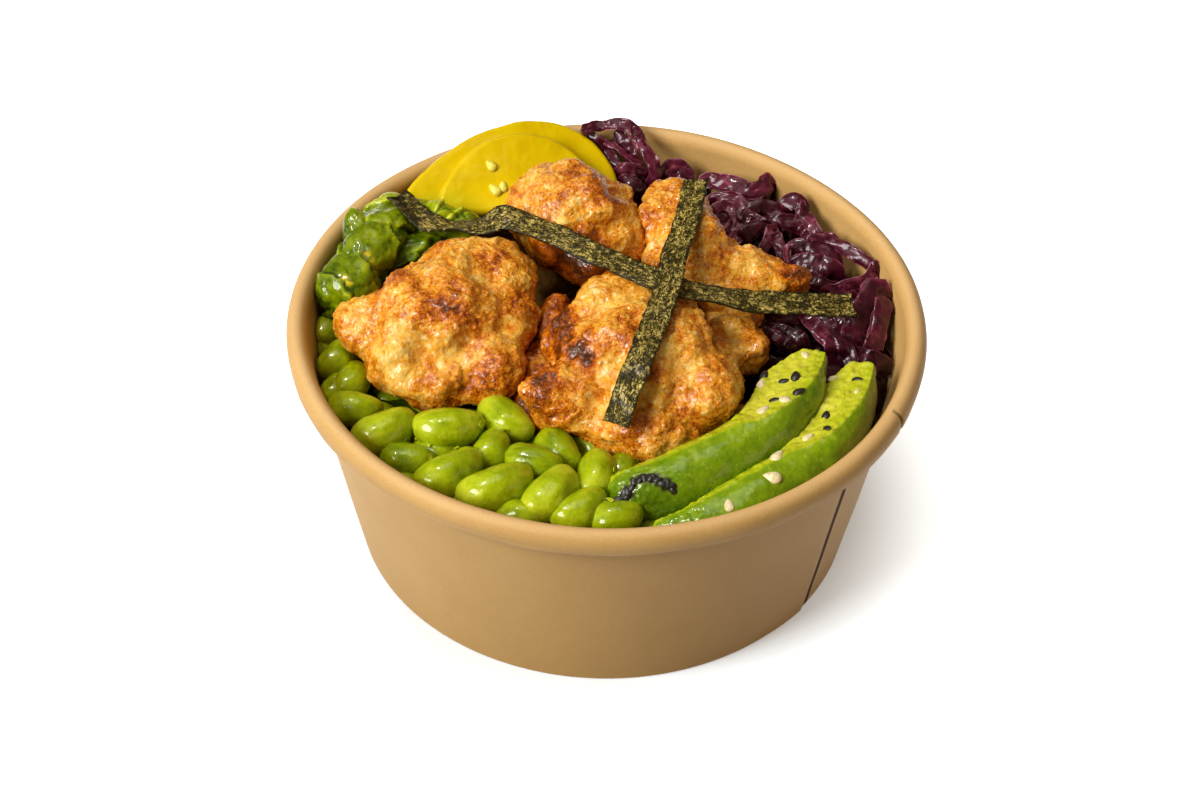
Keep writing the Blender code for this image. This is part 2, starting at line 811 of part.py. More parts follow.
# Folded leaves as (middle), (yaw, pitch, roll), (radii)
GREENS = (
    ((-61.6, 11.6, 56.6), (72, 0, 0), (8.6, 7.2, 7.4)),
    ((-57.0, 21.6, 59.4), (60, 6, 0), (10.0, 6.2, 6.4)),
    ((-54.4, 29.6, 59.6), (60, 0, 0), (7.8, 5.6, 5.4)),
    ((-61.4, 27.6, 59.4), (112, 0, 0), (7.4, 3.4, 6.2)),
    ((-45.5, 26.0, 55.0), (20, 0, 0), (10.0, 6.0, 5.8)),
    ((-54.6, 37.0, 59.6), (50, 0, 0), (6.4, 3.8, 3.8)),
    ((-41.4, 32.4, 60.8), (10, 0, 0), (4.6, 3.8, 4.6)),
    ((-47.4, 34.4, 60.0), (60, 0, 0), (4.6, 3.2, 3.8)),
    ((-36.2, 31.4, 60.4), (0, 0, 0), (4.0, 3.4, 3.8)),
)


def make_greens(surface, neighbours):
    """The heap of cooked greens: its core and the folded leaves on it."""
    core = make_pad("greens", 130, 171, 40.0, 39.0, 50.0, surface, stations=8)
    make_room(core, *neighbours)
    tree = tree_of(neighbours)
    directions, faces = sphere_grid(3)
    leaves = []
    for seed, (middle, (yaw, pitch, roll), radii) in enumerate(GREENS):
        stand = turn(yaw, pitch, roll)
        shift = Vector((seed * 5.3, seed * 2.9, 40.0))
        points = []
        for direction in directions:
            place = direction * Vector(radii)
            swell = sum(height * noise.noise(place / width + shift) for height, width in GREENS_LEAF)
            points.append(stand @ (place + direction * swell) + Vector(middle))
        points = settled(points, tree, lump_is_clear)
        if points:
            leaves.append(add_object("leaf", points, faces, surface))
    boolean(core, "UNION", leaves)
    keep_largest(core)
    reduce_to(core, 900)
    return core


# ---------------------------------------------------------------- red cabbage


SHRED_THICKNESS = 1.1
SHRED_SPANS = 8
SHRED_ROOT = 49.0  # an end of a shred goes down to here, inside the heap
SHRED_FREE = 62.0  # but an end that starts higher than this lies free
FACING = Vector((0.0, -0.74, 0.67)).normalized()  # the shreds' faces are turned to the front and up
# Each shred: its width, its turn about its own line in degrees, and where it curls through
SHREDS = (
    (3.4, 8, (
        (-4.0, 66.0, 63.6),
        (-0.6, 67.2, 64.6),
        (3.6, 66.6, 65.0),
        (7.4, 63.2, 63.2),
        (10.2, 60.2, 59.5),
        (10.3, 57.8, 53.0),
    )),
    (3.2, 0, ((2.6, 59.6, 56.5), (6.2, 59.9, 57.0), (9.8, 60.4, 55.5), (10.9, 60.3, 53.0))),
    (4.2, -5, (
        (13.8, 59.5, 55.0),
        (14.8, 61.1, 57.0),
        (17.3, 61.3, 57.5),
        (19.4, 60.1, 56.0),
        (19.5, 59.2, 53.5),
    )),
    (4.4, 0, (
        (24.2, 58.0, 55.5),
        (27.4, 56.1, 57.0),
        (31.3, 54.0, 57.5),
        (35.3, 51.6, 57.5),
        (38.3, 53.0, 57.5),
        (40.2, 55.8, 57.0),
    )),
    (3.6, -5, (
        (25.8, 49.6, 55.0),
        (28.3, 49.4, 56.5),
        (31.5, 48.5, 57.0),
        (33.4, 44.8, 56.5),
        (33.1, 39.9, 55.0),
        (30.9, 37.0, 52.5),
    )),
    (4.7, 0, (
        (33.7, 41.1, 54.0),
        (35.1, 43.9, 56.0),
        (37.9, 45.5, 57.0),
        (40.6, 44.6, 56.5),
        (42.1, 42.4, 54.5),
    )),
    (4.3, 0, (
        (33.1, 37.6, 53.0),
        (35.5, 39.2, 55.0),
        (38.3, 40.2, 55.5),
        (40.6, 39.0, 54.0),
        (40.1, 35.9, 52.0),
    )),
    (4.3, 15, (
        (43.1, 44.5, 56.0),
        (44.4, 45.2, 59.0),
        (46.9, 45.0, 59.5),
        (48.1, 42.2, 58.0),
        (47.5, 41.2, 55.0),
    )),
    (3.2, 0, (
        (47.2, 45.3, 59.0),
        (48.3, 42.2, 58.0),
        (50.2, 38.7, 57.0),
        (52.3, 35.1, 56.5),
        (54.9, 32.8, 56.5),
    )),
    (3.0, 5, ((40.7, 38.7, 55.5), (39.4, 35.3, 55.0), (38.2, 33.2, 53.5), (36.8, 32.8, 51.0))),
    (2.1, 10, (
        (44.2, 27.7, 52.5),
        (43.9, 30.3, 54.5),
        (44.6, 32.3, 56.0),
        (47.5, 32.6, 56.5),
        (50.7, 32.9, 57.0),
    )),
    (3.3, -5, (
        (49.0, 32.8, 57.0),
        (52.8, 32.7, 57.5),
        (56.6, 30.5, 57.5),
        (60.3, 26.8, 57.5),
        (63.6, 24.4, 57.0),
        (65.1, 23.4, 56.0),
    )),
    (3.6, 20, (
        (65.1, 24.2, 56.0),
        (62.7, 21.3, 54.5),
        (58.7, 19.9, 54.0),
        (55.4, 19.1, 53.0),
        (53.1, 19.7, 51.5),
    )),
    (5.5, 0, (
        (46.1, 31.5, 54.5),
        (49.0, 31.1, 55.5),
        (52.4, 29.7, 55.5),
        (54.8, 27.9, 54.5),
        (54.3, 25.7, 52.5),
    )),
    (7.8, 8, ((64.4, 13.9, 57.0), (62.4, 9.2, 56.5), (60.7, 5.7, 54.5), (59.3, 2.0, 52.0))),
    (5.2, -10, ((58.3, 13.7, 54.5), (57.1, 8.3, 54.0), (56.0, 4.2, 52.5), (57.0, 1.4, 50.5))),
    (3.5, 8, ((47.1, 12.6, 53.0), (48.9, 8.6, 54.0), (51.2, 5.2, 53.5), (53.6, 2.6, 52.0))),
    (3.8, 15, ((38.0, 9.0, 51.0), (41.0, 7.8, 52.6), (44.0, 5.7, 52.8), (47.4, 4.2, 51.5))),
)


def shred_points(width, turned, knots, stations=SHRED_SPANS):
    """Corners of a curled shred: a strip that rises out of the heap and goes back into it."""
    ends = knots[0], knots[-1]
    first, last = ([(*end[:2], SHRED_ROOT)] if end[2] < SHRED_FREE else [] for end in ends)
    places, _ = smooth_line([*first, *knots, *last], stations + 1)
    points = []
    for station, (place, way) in enumerate(zip(places, headings(places))):
        facing = (FACING - FACING.project(way)).normalized()
        side = Matrix.Rotation(math.radians(turned), 3, way) @ facing
        edge = side.cross(way).normalized()
        full = width * (0.75 + 0.25 * math.sin(math.pi * station / stations))
        for out, rise in ((-0.5, -0.5), (0.5, -0.5), (0.5, 0.5), (-0.5, 0.5)):
            points.append(place + side * out * SHRED_THICKNESS + edge * rise * full)
    return points


def tube_faces(stations, section=4):
    """Faces of a closed tube of this many spans, split into triangles alike on every side."""
    faces = []
    for station in range(stations):
        first, second = station * section, (station + 1) * section
        for index in range(section):
            beside = (index + 1) % section
            faces.append((first + index, first + beside, second + beside))
            faces.append((first + index, second + beside, second + index))
    last = stations * section
    faces.append(tuple(range(section)))
    faces.append(tuple(range(last, last + section)))
    return faces


def make_cabbage(surface, neighbours):
    """The heap of shredded cabbage: its core and the curled shreds that show."""
    core = make_pad("red_cabbage", -6, 97, 32.0, 38.0, 49.5, surface, stations=10)
    make_room(core, *neighbours)
    tree = tree_of(neighbours)
    faces = tube_faces(SHRED_SPANS)
    shreds = []
    for shred in SHREDS:
        points = settled(shred_points(*shred), tree, strip_is_clear)
        if points:
            shreds.append(add_object("shred", points, faces, surface))
    boolean(core, "UNION", shreds, solver="MANIFOLD")  # EXACT leaves open edges where shreds cross
    keep_largest(core)
    return core


# ---------------------------------------------------------------- seaweed strips


STRIP_WIDTH = 6.2
STRIP_THICKNESS = 0.6
STRIP_LIFT = 0.75
# Each strip: its tilt towards the viewer at either end in degrees, the fold that stands up at its
# back edge as (place along it, height, half width), and the line that the strip would take if
# nothing held it up, which it follows wherever what is below it is lower
STRIPS = {
    "nori_long": (
        (2.0, 22.0),
        (33.0, 3.0, 3.5),
        (
            (-51.9, 36.1, 62.5),
            (-44.2, 27.6, 62.0),
            (-31.7, 22.3, 67.0),
            (-23.5, 21.5, 70.0),
            (-11.5, 15.9, 70.0),
            (-1.9, 9.4, 69.5),
            (6.5, 3.4, 70.0),
            (14.5, -0.8, 69.5),
            (22.0, -2.2, 68.0),
            (36.5, 0.8, 64.0),
            (58.0, 4.2, 60.5),
        ),
    ),
    "nori_short": (
        (8.0, 8.0),
        (0.0, 0.0, 1.0),
        (
            (20.9, 35.5, 72.5),
            (18.5, 19.3, 73.0),
            (15.4, 6.0, 73.0),
            (13.8, -4.6, 72.0),
            (10.7, -16.0, 70.0),
            (7.6, -27.5, 67.0),
            (2.4, -40.2, 60.5),
        ),
    ),
}
BRIDGING = 0.03  # how fast a strip falls away beside a high point, for each millimetre squared


def make_strip(name, tilts, fold, knots, below, surface):
    """A strip laid over what is below it: it rests on the high points and bridges the gaps."""
    length = sum((Vector(after) - Vector(before)).length for before, after in zip(knots, knots[1:]))
    places, stops = smooth_line(knots, int(length / 3.8))
    ways = headings(places)
    tree = tree_of(below)
    edges = []
    for side in (-0.5, 0.5):
        held = []
        for place, way in zip(places, ways):
            across = way.cross(Vector((0, 0, 1))).normalized()
            heights = []
            for share in (0.0, 0.4, 0.8, 1.15):
                for ahead in (-2.0, 0.0, 2.0):
                    spot = place + across * side * share * STRIP_WIDTH + way * ahead
                    hit = tree.ray_cast(Vector((spot.x, spot.y, 150)), Vector((0, 0, -1)))[0]
                    heights.append(hit.z + STRIP_LIFT if hit else 0.0)
            held.append(max(heights))
        edge = []
        for place, stop in zip(places, stops):
            bridged = max(high - BRIDGING * (stop - other) ** 2 for high, other in zip(held, stops))
            tilt = tilts[0] + (tilts[1] - tilts[0]) * stop / stops[-1]
            sag = math.tan(math.radians(tilt)) * side * STRIP_WIDTH
            edge.append(max(bridged, place.z - sag))
        edges.append(edge)
    folded_at, fold_height, fold_width = fold
    for index, stop in enumerate(stops):
        edges[0][index] += fold_height * math.exp(-(((stop - folded_at) / fold_width) ** 2))
    points = []
    for place, way, low_left, low_right in zip(places, ways, *edges):
        across = way.cross(Vector((0, 0, 1))).normalized()
        slope = (across * STRIP_WIDTH + Vector((0, 0, low_right - low_left))).normalized()
        middle = Vector((place.x, place.y, (low_left + low_right) / 2))
        left, right = middle - slope * STRIP_WIDTH / 2, middle + slope * STRIP_WIDTH / 2
        over = slope.cross(way)
        over = (over if over.z > 0 else -over).normalized() * STRIP_THICKNESS
        points += [left, right, right + over, left + over]
    return add_object(name, points, tube_faces(len(places) - 1), surface)


# ---------------------------------------------------------------- the bed under the toppings


def make_bed(surface, toppings):
    """The filling under the toppings: a level top, pressed down wherever a topping reaches lower."""
    rings, spokes = 6, 26
    reach = wall_inside(BED_EDGE) - WALL_MARGIN
    places = [place for ring in range(1, rings + 1) for place in circle(reach * ring / rings, spokes)]
    places.append((0.0, 0.0))
    centre = len(places) - 1
    top_faces = []
    for spoke in range(spokes):
        after = (spoke + 1) % spokes
        top_faces.append((centre, spoke, after))
        for inner in range(0, (rings - 1) * spokes, spokes):
            outer = inner + spokes
            top_faces.append((inner + spoke, outer + spoke, outer + after))
            top_faces.append((inner + spoke, outer + after, inner + after))

    heights = press_down(places, top_faces, toppings)
    points = [pressed_in(Vector((*place, height))) for place, height in zip(places, heights)]
    foot = len(points)
    points += [(*place, BED_FLOOR) for place in circle(wall_inside(BED_FLOOR) - WALL_MARGIN, spokes)]
    points.append((0.0, 0.0, BED_FLOOR))
    faces = list(top_faces)
    edge = (rings - 1) * spokes
    for spoke in range(spokes):
        after = (spoke + 1) % spokes
        faces.append((edge + spoke, foot + spoke, foot + after, edge + after))
        faces.append((foot + spokes, foot + after, foot + spoke))
    return add_object("bed", points, faces, surface)


def press_down(places, faces, toppings):
    """Heights for the bed's places that keep its faces below everything that lies on them."""
    heights = [BED_LEVEL] * len(places)

    def lower(corners, weights, limit):
        over = sum(weight * heights[corner] for weight, corner in zip(weights, corners)) - limit
        if over > 0:
            spread = sum(weight * weight for weight in weights)
            for weight, corner in zip(weights, corners):
                heights[corner] -= over * weight / spread

    flat = [Vector((*place, 0.0)) for place in places]
    under = BVHTree.FromPolygons(flat, faces)
    for obj in toppings:
        for vertex in obj.data.vertices:
            place = vertex.co / MM
            _, _, index, _ = under.ray_cast(Vector((place.x, place.y, -1.0)), Vector((0, 0, 1)))
            if index is not None:
                corners = faces[index]
                weights = poly_3d_calc([flat[corner] for corner in corners], Vector((*place[:2], 0.0)))
                lower(corners, weights, place.z - BED_MARGIN)

    tree = tree_of(toppings)
    parts = 8
    shares = [
        (first / parts, second / parts, (parts - first - second) / parts)
        for first in range(parts + 1)
        for second in range(parts + 1 - first)
    ]
    for corners in faces:
        for weights in shares:
            spot = sum((flat[corner] * weight for weight, corner in zip(weights, corners)), Vector())
            spot.z = BED_FLOOR + 0.5
            hit = tree.ray_cast(spot, Vector((0, 0, 1)))[0]
            if hit is not None:
                lower(corners, weights, hit.z - BED_MARGIN)
    return heights


# ---------------------------------------------------------------- assembly


def main():
    clear_scene()
    kraft = material("kraft board", (0.60, 0.42, 0.23), 0.75)
    crust = material("fried crust", (0.72, 0.36, 0.10), 0.45)
    flesh = material("avocado flesh", (0.45, 0.60, 0.07), 0.40)
    yellow = material("pickled radish", (0.85, 0.68, 0.02), 0.35)
    bean = material("green bean", (0.35, 0.55, 0.03), 0.30)
    leaf = material("cooked leaf", (0.12, 0.28, 0.02), 0.35)
    purple = material("red cabbage", (0.17, 0.04, 0.10), 0.40)
    seaweed = material("seaweed", (0.07, 0.08, 0.03), 0.50)
    filling = material("filling", (0.62, 0.52, 0.36), 0.70)

    make_bowl_wall(kraft)
    make_bowl_base(kraft)
    chicken = list(make_chicken(crust).values())
    avocado = make_avocado(flesh, chicken)
    pickles = {name: make_pickle(name, *sizes, yellow) for name, sizes in PICKLE.items()}
    for pickle in pickles.values():
        make_room(pickle, *chicken)
    for name, places in SEEDS.items():
        lay_seeds({**avocado, **pickles}[name], places)

    firm = [*chicken, *avocado.values(), *pickles.values()]
    greens = make_greens(leaf, firm)
    cabbage = make_cabbage(purple, firm)
    edamame = make_beans(bean, [*firm, greens])

    toppings = [*firm, greens, cabbage, edamame]
    make_bed(filling, toppings)
    long_strip = make_strip("nori_long", *STRIPS["nori_long"], toppings, seaweed)
    make_strip("nori_short", *STRIPS["nori_short"], [*toppings, long_strip], seaweed)


main()
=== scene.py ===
"""The looks of a chicken karaage bowl: crust, leaves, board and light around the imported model.

Lengths are in millimetres unless a line says otherwise, and MM turns them into the scene's metres.
The frame is the model's own: +Z up, the bowl's foot at z = 0, and -Y towards the viewer.
"""

import math
from itertools import product

import bmesh
import bpy
import numpy as np
from mathutils import Matrix, Vector
from mathutils.bvhtree import BVHTree


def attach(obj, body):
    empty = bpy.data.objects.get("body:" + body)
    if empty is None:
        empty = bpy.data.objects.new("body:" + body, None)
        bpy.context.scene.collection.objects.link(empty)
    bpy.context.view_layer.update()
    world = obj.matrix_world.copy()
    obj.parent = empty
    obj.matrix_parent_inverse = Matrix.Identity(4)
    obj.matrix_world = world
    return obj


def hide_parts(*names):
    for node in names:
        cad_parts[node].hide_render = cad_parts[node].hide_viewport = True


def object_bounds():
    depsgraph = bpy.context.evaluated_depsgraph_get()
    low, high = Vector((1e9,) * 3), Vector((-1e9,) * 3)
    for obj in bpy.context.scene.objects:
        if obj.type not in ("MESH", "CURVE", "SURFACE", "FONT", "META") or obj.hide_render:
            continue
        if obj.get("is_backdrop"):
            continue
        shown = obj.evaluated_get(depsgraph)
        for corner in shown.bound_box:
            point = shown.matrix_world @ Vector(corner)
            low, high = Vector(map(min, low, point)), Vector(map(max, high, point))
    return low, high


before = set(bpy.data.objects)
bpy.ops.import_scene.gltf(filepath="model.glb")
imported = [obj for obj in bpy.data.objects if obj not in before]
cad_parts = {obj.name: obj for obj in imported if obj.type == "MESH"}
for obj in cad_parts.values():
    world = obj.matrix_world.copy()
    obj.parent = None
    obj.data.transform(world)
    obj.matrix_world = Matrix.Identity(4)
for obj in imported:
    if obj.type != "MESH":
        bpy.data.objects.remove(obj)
CAD_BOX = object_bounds()

MM = 0.001
BODY = "root"

# The camera that the bowl's rim and foot fit in the photograph
CAMERA_DISTANCE = 600.0
CAMERA_TARGET = (-1.18, 0.0, 32.71)
CAMERA_ELEVATION = 42.52
CAMERA_ROLL = 1.23
IMAGE_SIZE = (1200, 800)
SENSOR_WIDTH = 36.0
LENS = 74.37

# The bowl, with the sizes that the model has
RIM_DIAMETER = 150.0
HEIGHT = 61.5
FOOT_RADIUS = 60.5
ROLL_WIDTH = 5.0
ROLL_HEIGHT = 6.6
ROLL_BOTTOM = HEIGHT - ROLL_HEIGHT
WALL_TOP_RADIUS = 70.4
BOARD = 0.8
HEM_HEIGHT = 5.0
BASE_LIFT = 6.2
CLEARANCE = 0.35
SEAM_ANGLE = -39.0
SEAM_LAP = 13.0
SEAM_STEP = 0.5
SEAM_EDGE = 0.35
WALL_MARGIN = 0.6


def wall_outside(z):
    """Radius of the wall's outer face at height z."""
    return FOOT_RADIUS + (WALL_TOP_RADIUS - FOOT_RADIUS) * z / ROLL_BOTTOM


def wall_inside(z):
    """Radius of the space inside the bowl at height z, which ends at the rolled rim."""
    return np.minimum(wall_outside(z) - BOARD, RIM_DIAMETER / 2 - ROLL_WIDTH)


def pressed_in(points, margin=WALL_MARGIN):
    """The same places, each moved inwards if it doesn't clear the wall."""
    points = np.array(points, float)
    reach = np.hypot(points[:, 0], points[:, 1])
    held = wall_inside(points[:, 2]) - margin
    share = np.where(reach > held, held / np.maximum(reach, 1e-6), 1.0)
    points[:, :2] *= share[:, None]
    return points


# ---------------------------------------------------------------- noise


CORNERS = [np.array(step) for step in product((0, 1), repeat=3)]
AROUND = [np.array(step) for step in product((-1, 0, 1), repeat=3)]
SLOPES = np.array([step for step in AROUND if np.abs(step).sum() == 2], float)
PRIMES = [np.uint32(prime) for prime in (73856093, 19349663, 83492791)]
SHIFT = np.array((17.31, 9.77, 5.13))  # how far apart two seeds' noises are taken, in cells
NOISE_GAIN, LAYERED_GAIN = 1.5, 1.3  # these carry the noise to about -1 to 1


def hashed(cells, seed):
    """A repeatable whole number for each whole-numbered place."""
    x, y, z = (cells[:, axis].astype(np.int64).astype(np.uint32) * PRIMES[axis] for axis in range(3))
    mixed = x ^ y ^ z ^ np.uint32((seed * 2654435761) % 2**32)
    mixed ^= mixed >> np.uint32(15)
    mixed *= np.uint32(2246822519)
    mixed ^= mixed >> np.uint32(13)
    mixed *= np.uint32(3266489917)
    return mixed ^ (mixed >> np.uint32(16))


def noise(points, size, seed=0):
    """Smooth noise from about -1 to 1 at each place, in cells of this size."""
    places = np.asarray(points, float) / size + SHIFT * (seed + 1)
    cell = np.floor(places)
    inside = places - cell
    ease = inside**3 * (inside * (inside * 6 - 15) + 10)
    total = np.zeros(len(places))
    for corner in CORNERS:
        slope = SLOPES[hashed(cell + corner, seed) % len(SLOPES)]
        weight = np.prod(np.where(corner == 1, ease, 1 - ease), axis=1)
        total += weight * ((inside - corner) * slope).sum(axis=1)
    return total * NOISE_GAIN


def layered(points, size, layers, seed=0):
    """Noise with finer and weaker layers on it, from about -1 to 1."""
    total = sum(noise(points, size / 2**n, seed + n) / 2**n for n in range(layers))
    return total / sum(1 / 2**n for n in range(layers)) * LAYERED_GAIN


def unit_noise(points, size, seed):
    """Noise for each axis."""
    return np.stack([noise(points, size, seed + axis) for axis in range(3)], axis=1)


def grains(points, size, seed=0):
    """How far each place is from its nearest grain's middle, in grain sizes, and that grain's number."""
    places = np.asarray(points, float) / size
    cell = np.floor(places)
    nearest = np.full(len(places), 9.0)
    number = np.zeros(len(places))
    for step in AROUND:
        there = cell + step
        key = hashed(there, seed)
        middle = there + np.stack([(key >> np.uint32(s)) % 1024 / 1023.0 for s in (0, 10, 20)], axis=1)
        away = ((places - middle) ** 2).sum(axis=1)
        closer = away < nearest
        nearest = np.where(closer, away, nearest)
        number = np.where(closer, (key % 997) / 996.0, number)
    return np.sqrt(nearest), number


def smoothstep(value, low, high):
    share = np.clip((value - low) / (high - low), 0, 1)
    return share * share * (3 - 2 * share)


def ridge(value, width):
    """1 where the value is 0, falling to 0 within about this width."""
    return np.exp(-((value / width) ** 2))


# ---------------------------------------------------------------- meshes


def linked(name, data):
    """A new object in the scene."""
    obj = bpy.data.objects.new(name, data)
    bpy.context.scene.collection.objects.link(obj)
    return obj


def new_object(name, points, faces, **attributes):
    """A smooth object from places in millimetres and lists of corners."""
    mesh = bpy.data.meshes.new(name)
    mesh.from_pydata((np.asarray(points, float) * MM).tolist(), [], faces)
    mesh.shade_smooth()
    return painted(linked(name, mesh), **attributes)


def painted(obj, **attributes):
    """The object with numbers stored for each vertex, which the materials read by their names."""
    for key, values in attributes.items():
        layer = obj.data.attributes.new(key, "FLOAT", "POINT")
        layer.data.foreach_set("value", np.asarray(values, np.float32))
    return obj


def vertex_values(obj, key):
    values = np.zeros(3 * len(obj.data.vertices))
    obj.data.vertices.foreach_get(key, values)
    return values.reshape(-1, 3)


def places_of(obj):
    """The object's vertices in millimetres."""
    return vertex_values(obj, "co") / MM


def move_vertices(obj, points):
    obj.data.vertices.foreach_set("co", (np.asarray(points) * MM).ravel())
    obj.data.update()


class Heap:
    """Gathers small closed meshes into one piece, with their attributes."""

    def __init__(self):
        self.points, self.faces, self.attributes, self.count = [], [], {}, 0

    def add(self, points, faces, **attributes):
        self.points.append(np.asarray(points, float))
        self.faces += [[corner + self.count for corner in face] for face in faces]
        for key, values in attributes.items():
            full = np.broadcast_to(np.asarray(values, float), (len(points),))
            self.attributes.setdefault(key, []).append(full)
        self.count += len(points)

    def finish(self, name):
        attributes = {key: np.concatenate(values) for key, values in self.attributes.items()}
        return new_object(name, np.concatenate(self.points), self.faces, **attributes)


def weld(mesh, distance, closing=False):
    """Joins vertices that lie together, and clears what closing a folded sheet leaves behind."""
    made = bmesh.new()
    made.from_mesh(mesh)
    bmesh.ops.remove_doubles(made, verts=made.verts, dist=distance * MM)
    if closing:
        bmesh.ops.dissolve_degenerate(made, edges=made.edges, dist=0.02 * MM)
        bmesh.ops.recalc_face_normals(made, faces=made.faces)
    made.to_mesh(mesh)
    made.free()


def fine_copy(node, name, voxel, rounding, smoothing):
    """A copy of a node with soft edges and an even mesh, fine enough to carry surface relief."""
    obj = linked(name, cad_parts[node].data.copy())
    obj.data.materials.clear()
    weld(obj.data, 0.01)
    subdivision = obj.modifiers.new("Subdivision", "SUBSURF")
    subdivision.levels = subdivision.render_levels = rounding
    remesh = obj.modifiers.new("Remesh", "REMESH")
    remesh.mode, remesh.voxel_size, remesh.use_smooth_shade = "VOXEL", voxel * MM, True
    smooth = obj.modifiers.new("Smooth", "SMOOTH")
    smooth.factor, smooth.iterations = 0.5, smoothing
    mesh = bpy.data.meshes.new_from_object(obj.evaluated_get(bpy.context.evaluated_depsgraph_get()))
    obj.modifiers.clear()
    obj.data = mesh
    return obj


def tree_of(*objects):
    """One search tree over several objects, in millimetres."""
    points, faces = [], []
    for obj in objects:
        start = sum(len(part) for part in points)
        points.append(places_of(obj))
        faces += [[start + corner for corner in face.vertices] for face in obj.data.polygons]
    return BVHTree.FromPolygons(np.concatenate(points).tolist(), faces)


def sphere_grid(detail):
    """Unit directions and triangles of an icosphere."""
    made = bmesh.new()
    bmesh.ops.create_icosphere(made, subdivisions=detail, radius=1.0)
    directions = np.array([vertex.co.normalized()[:] for vertex in made.verts])
    faces = [[vertex.index for vertex in face.verts] for face in made.faces]
    made.free()
    return directions, faces


def turn(yaw=0.0, pitch=0.0, roll=0.0):
    """Turns about X by pitch and Y by roll, then about Z by yaw, in degrees."""
    about_x = Matrix.Rotation(math.radians(pitch), 3, "X")
    about_y = Matrix.Rotation(math.radians(roll), 3, "Y")
    return np.array(Matrix.Rotation(math.radians(yaw), 3, "Z") @ about_y @ about_x)


def about_z(radius, degrees, height):
    """Places at these radii, angles about +Z and heights."""
    angles = np.radians(degrees)
    return np.stack(np.broadcast_arrays(radius * np.cos(angles), radius * np.sin(angles), height), axis=1)


def curve_point(before, first, second, after, share):
    """A point on the smooth curve from first to second, with the knots on either side of them."""
    curve = (after - 3 * second + 3 * first - before) * share**3
    curve += (2 * before - 5 * first + 4 * second - after) * share**2
    curve += (second - before) * share + 2 * first
    return curve / 2


def smooth_line(knots, count):
    """Points spaced evenly along a smooth curve through the knots, and how far along each lies."""
    knots = [np.array(place, float) for place in knots]
    ends = [2 * knots[0] - knots[1], *knots, 2 * knots[-1] - knots[-2]]
    fours = zip(ends, ends[1:], ends[2:], ends[3:])
    dense = [curve_point(*four, step / 16) for four in fours for step in range(16)]
    dense = np.array([*dense, knots[-1]])
    lengths = np.concatenate([[0.0], np.cumsum(np.linalg.norm(np.diff(dense, axis=0), axis=1))])
    stops = np.linspace(0, lengths[-1], count)
    return np.stack([np.interp(stops, lengths, dense[:, axis]) for axis in range(3)], axis=1), stops


def closed_curve(corners, steps):
    """A smooth closed curve through the corners, and which corner each point comes after."""
    corners = np.array(corners, float)
    count = len(corners)
    fours = [corners[[index - 1, index, (index + 1) % count, (index + 2) % count]] for index in range(count)]
    places = [curve_point(*four, step / steps) for four in fours for step in range(steps)]
    return np.array(places), np.arange(count * steps) / steps


def unit(rows):
    return rows / np.maximum(np.linalg.norm(rows, axis=-1, keepdims=True), 1e-9)


def headings(places):
    """Unit directions along a line of points."""
    return unit(np.gradient(places, axis=0))


def tube_faces(stations, section):
    """Faces of a closed tube whose two ends are closed by fans about one more point each."""
    around = [(index, (index + 1) % section) for index in range(section)]
    starts = range(0, (stations - 1) * section, section)
    faces = [[at + a, at + b, at + section + b, at + section + a] for at in starts for a, b in around]
    near, last = stations * section, (stations - 1) * section
    for index, beside in around:
        faces += [[near, beside, index], [near + 1, last + index, last + beside]]
    return faces


def tube_points(rings):
    """Rings of equal length with the middles of the first and the last added for the end fans."""
    rings = np.asarray(rings, float)
    return np.concatenate([rings.reshape(-1, 3), [rings[0].mean(axis=0), rings[-1].mean(axis=0)]])


def tube_values(values, near=0.0, far=0.0):
    """Numbers for a tube's rings, with those of the two points that close its ends."""
    return np.concatenate([np.ravel(values), [near, far]])


CORE_STEPS = 3  # points for each corner of a core's section
CORE_MARGIN = 0.9


def heap_core(start, end, inside, low, high, stations):
    """The core of a heap: a bank along the wall between two angles, rounded on top."""
    rings = []
    for share in np.linspace(0, 1, stations):
        full = math.sqrt(max(0.0, 1 - (2 * share - 1) ** 8))
        top = low + (high - low) * (0.35 + 0.65 * full)
        corners = (
            (inside, low),
            (wall_inside(low) - WALL_MARGIN, low),
            (wall_inside(top - 3) - WALL_MARGIN, top - 3),
            (wall_inside(top) - WALL_MARGIN - 2.5, top),
            ((inside + wall_inside(top)) / 2, top + 0.8),
            (inside + 3, top),
            (inside, top - 3),
        )
        radius, height = closed_curve(corners, CORE_STEPS)[0].T
        rings.append(about_z(radius, start + (end - start) * share, height))
    return pressed_in(tube_points(rings), CORE_MARGIN), tube_faces(stations, len(rings[0]))


# ---------------------------------------------------------------- the camera, and what it sees


def camera_axes():
    """The camera's right, up and backward directions and its place, in millimetres."""
    raised, rolled = math.radians(CAMERA_ELEVATION), math.radians(CAMERA_ROLL)
    back = Vector((0, -math.cos(raised), math.sin(raised)))
    level_up = Vector((0, math.sin(raised), math.cos(raised)))
    level_right = Vector((1, 0, 0))
    right = math.cos(rolled) * level_right + math.sin(rolled) * level_up
    up = -math.sin(rolled) * level_right + math.cos(rolled) * level_up
    return right, up, back, Vector(CAMERA_TARGET) + back * CAMERA_DISTANCE


def pixel_ray(across, down):
    """The camera's place, and its view through the photograph's pixel (across, down)."""
    right, up, back, place = camera_axes()
    focal = LENS / SENSOR_WIDTH * IMAGE_SIZE[0]
    ray = right * (across - IMAGE_SIZE[0] / 2) / focal + up * (IMAGE_SIZE[1] / 2 - down) / focal - back
    return place, ray


def place_at(across, down, height):
    """The place at this height that lies behind the photograph's pixel (across, down)."""
    place, ray = pixel_ray(across, down)
    return np.array(place + ray * (height - place.z) / ray.z)


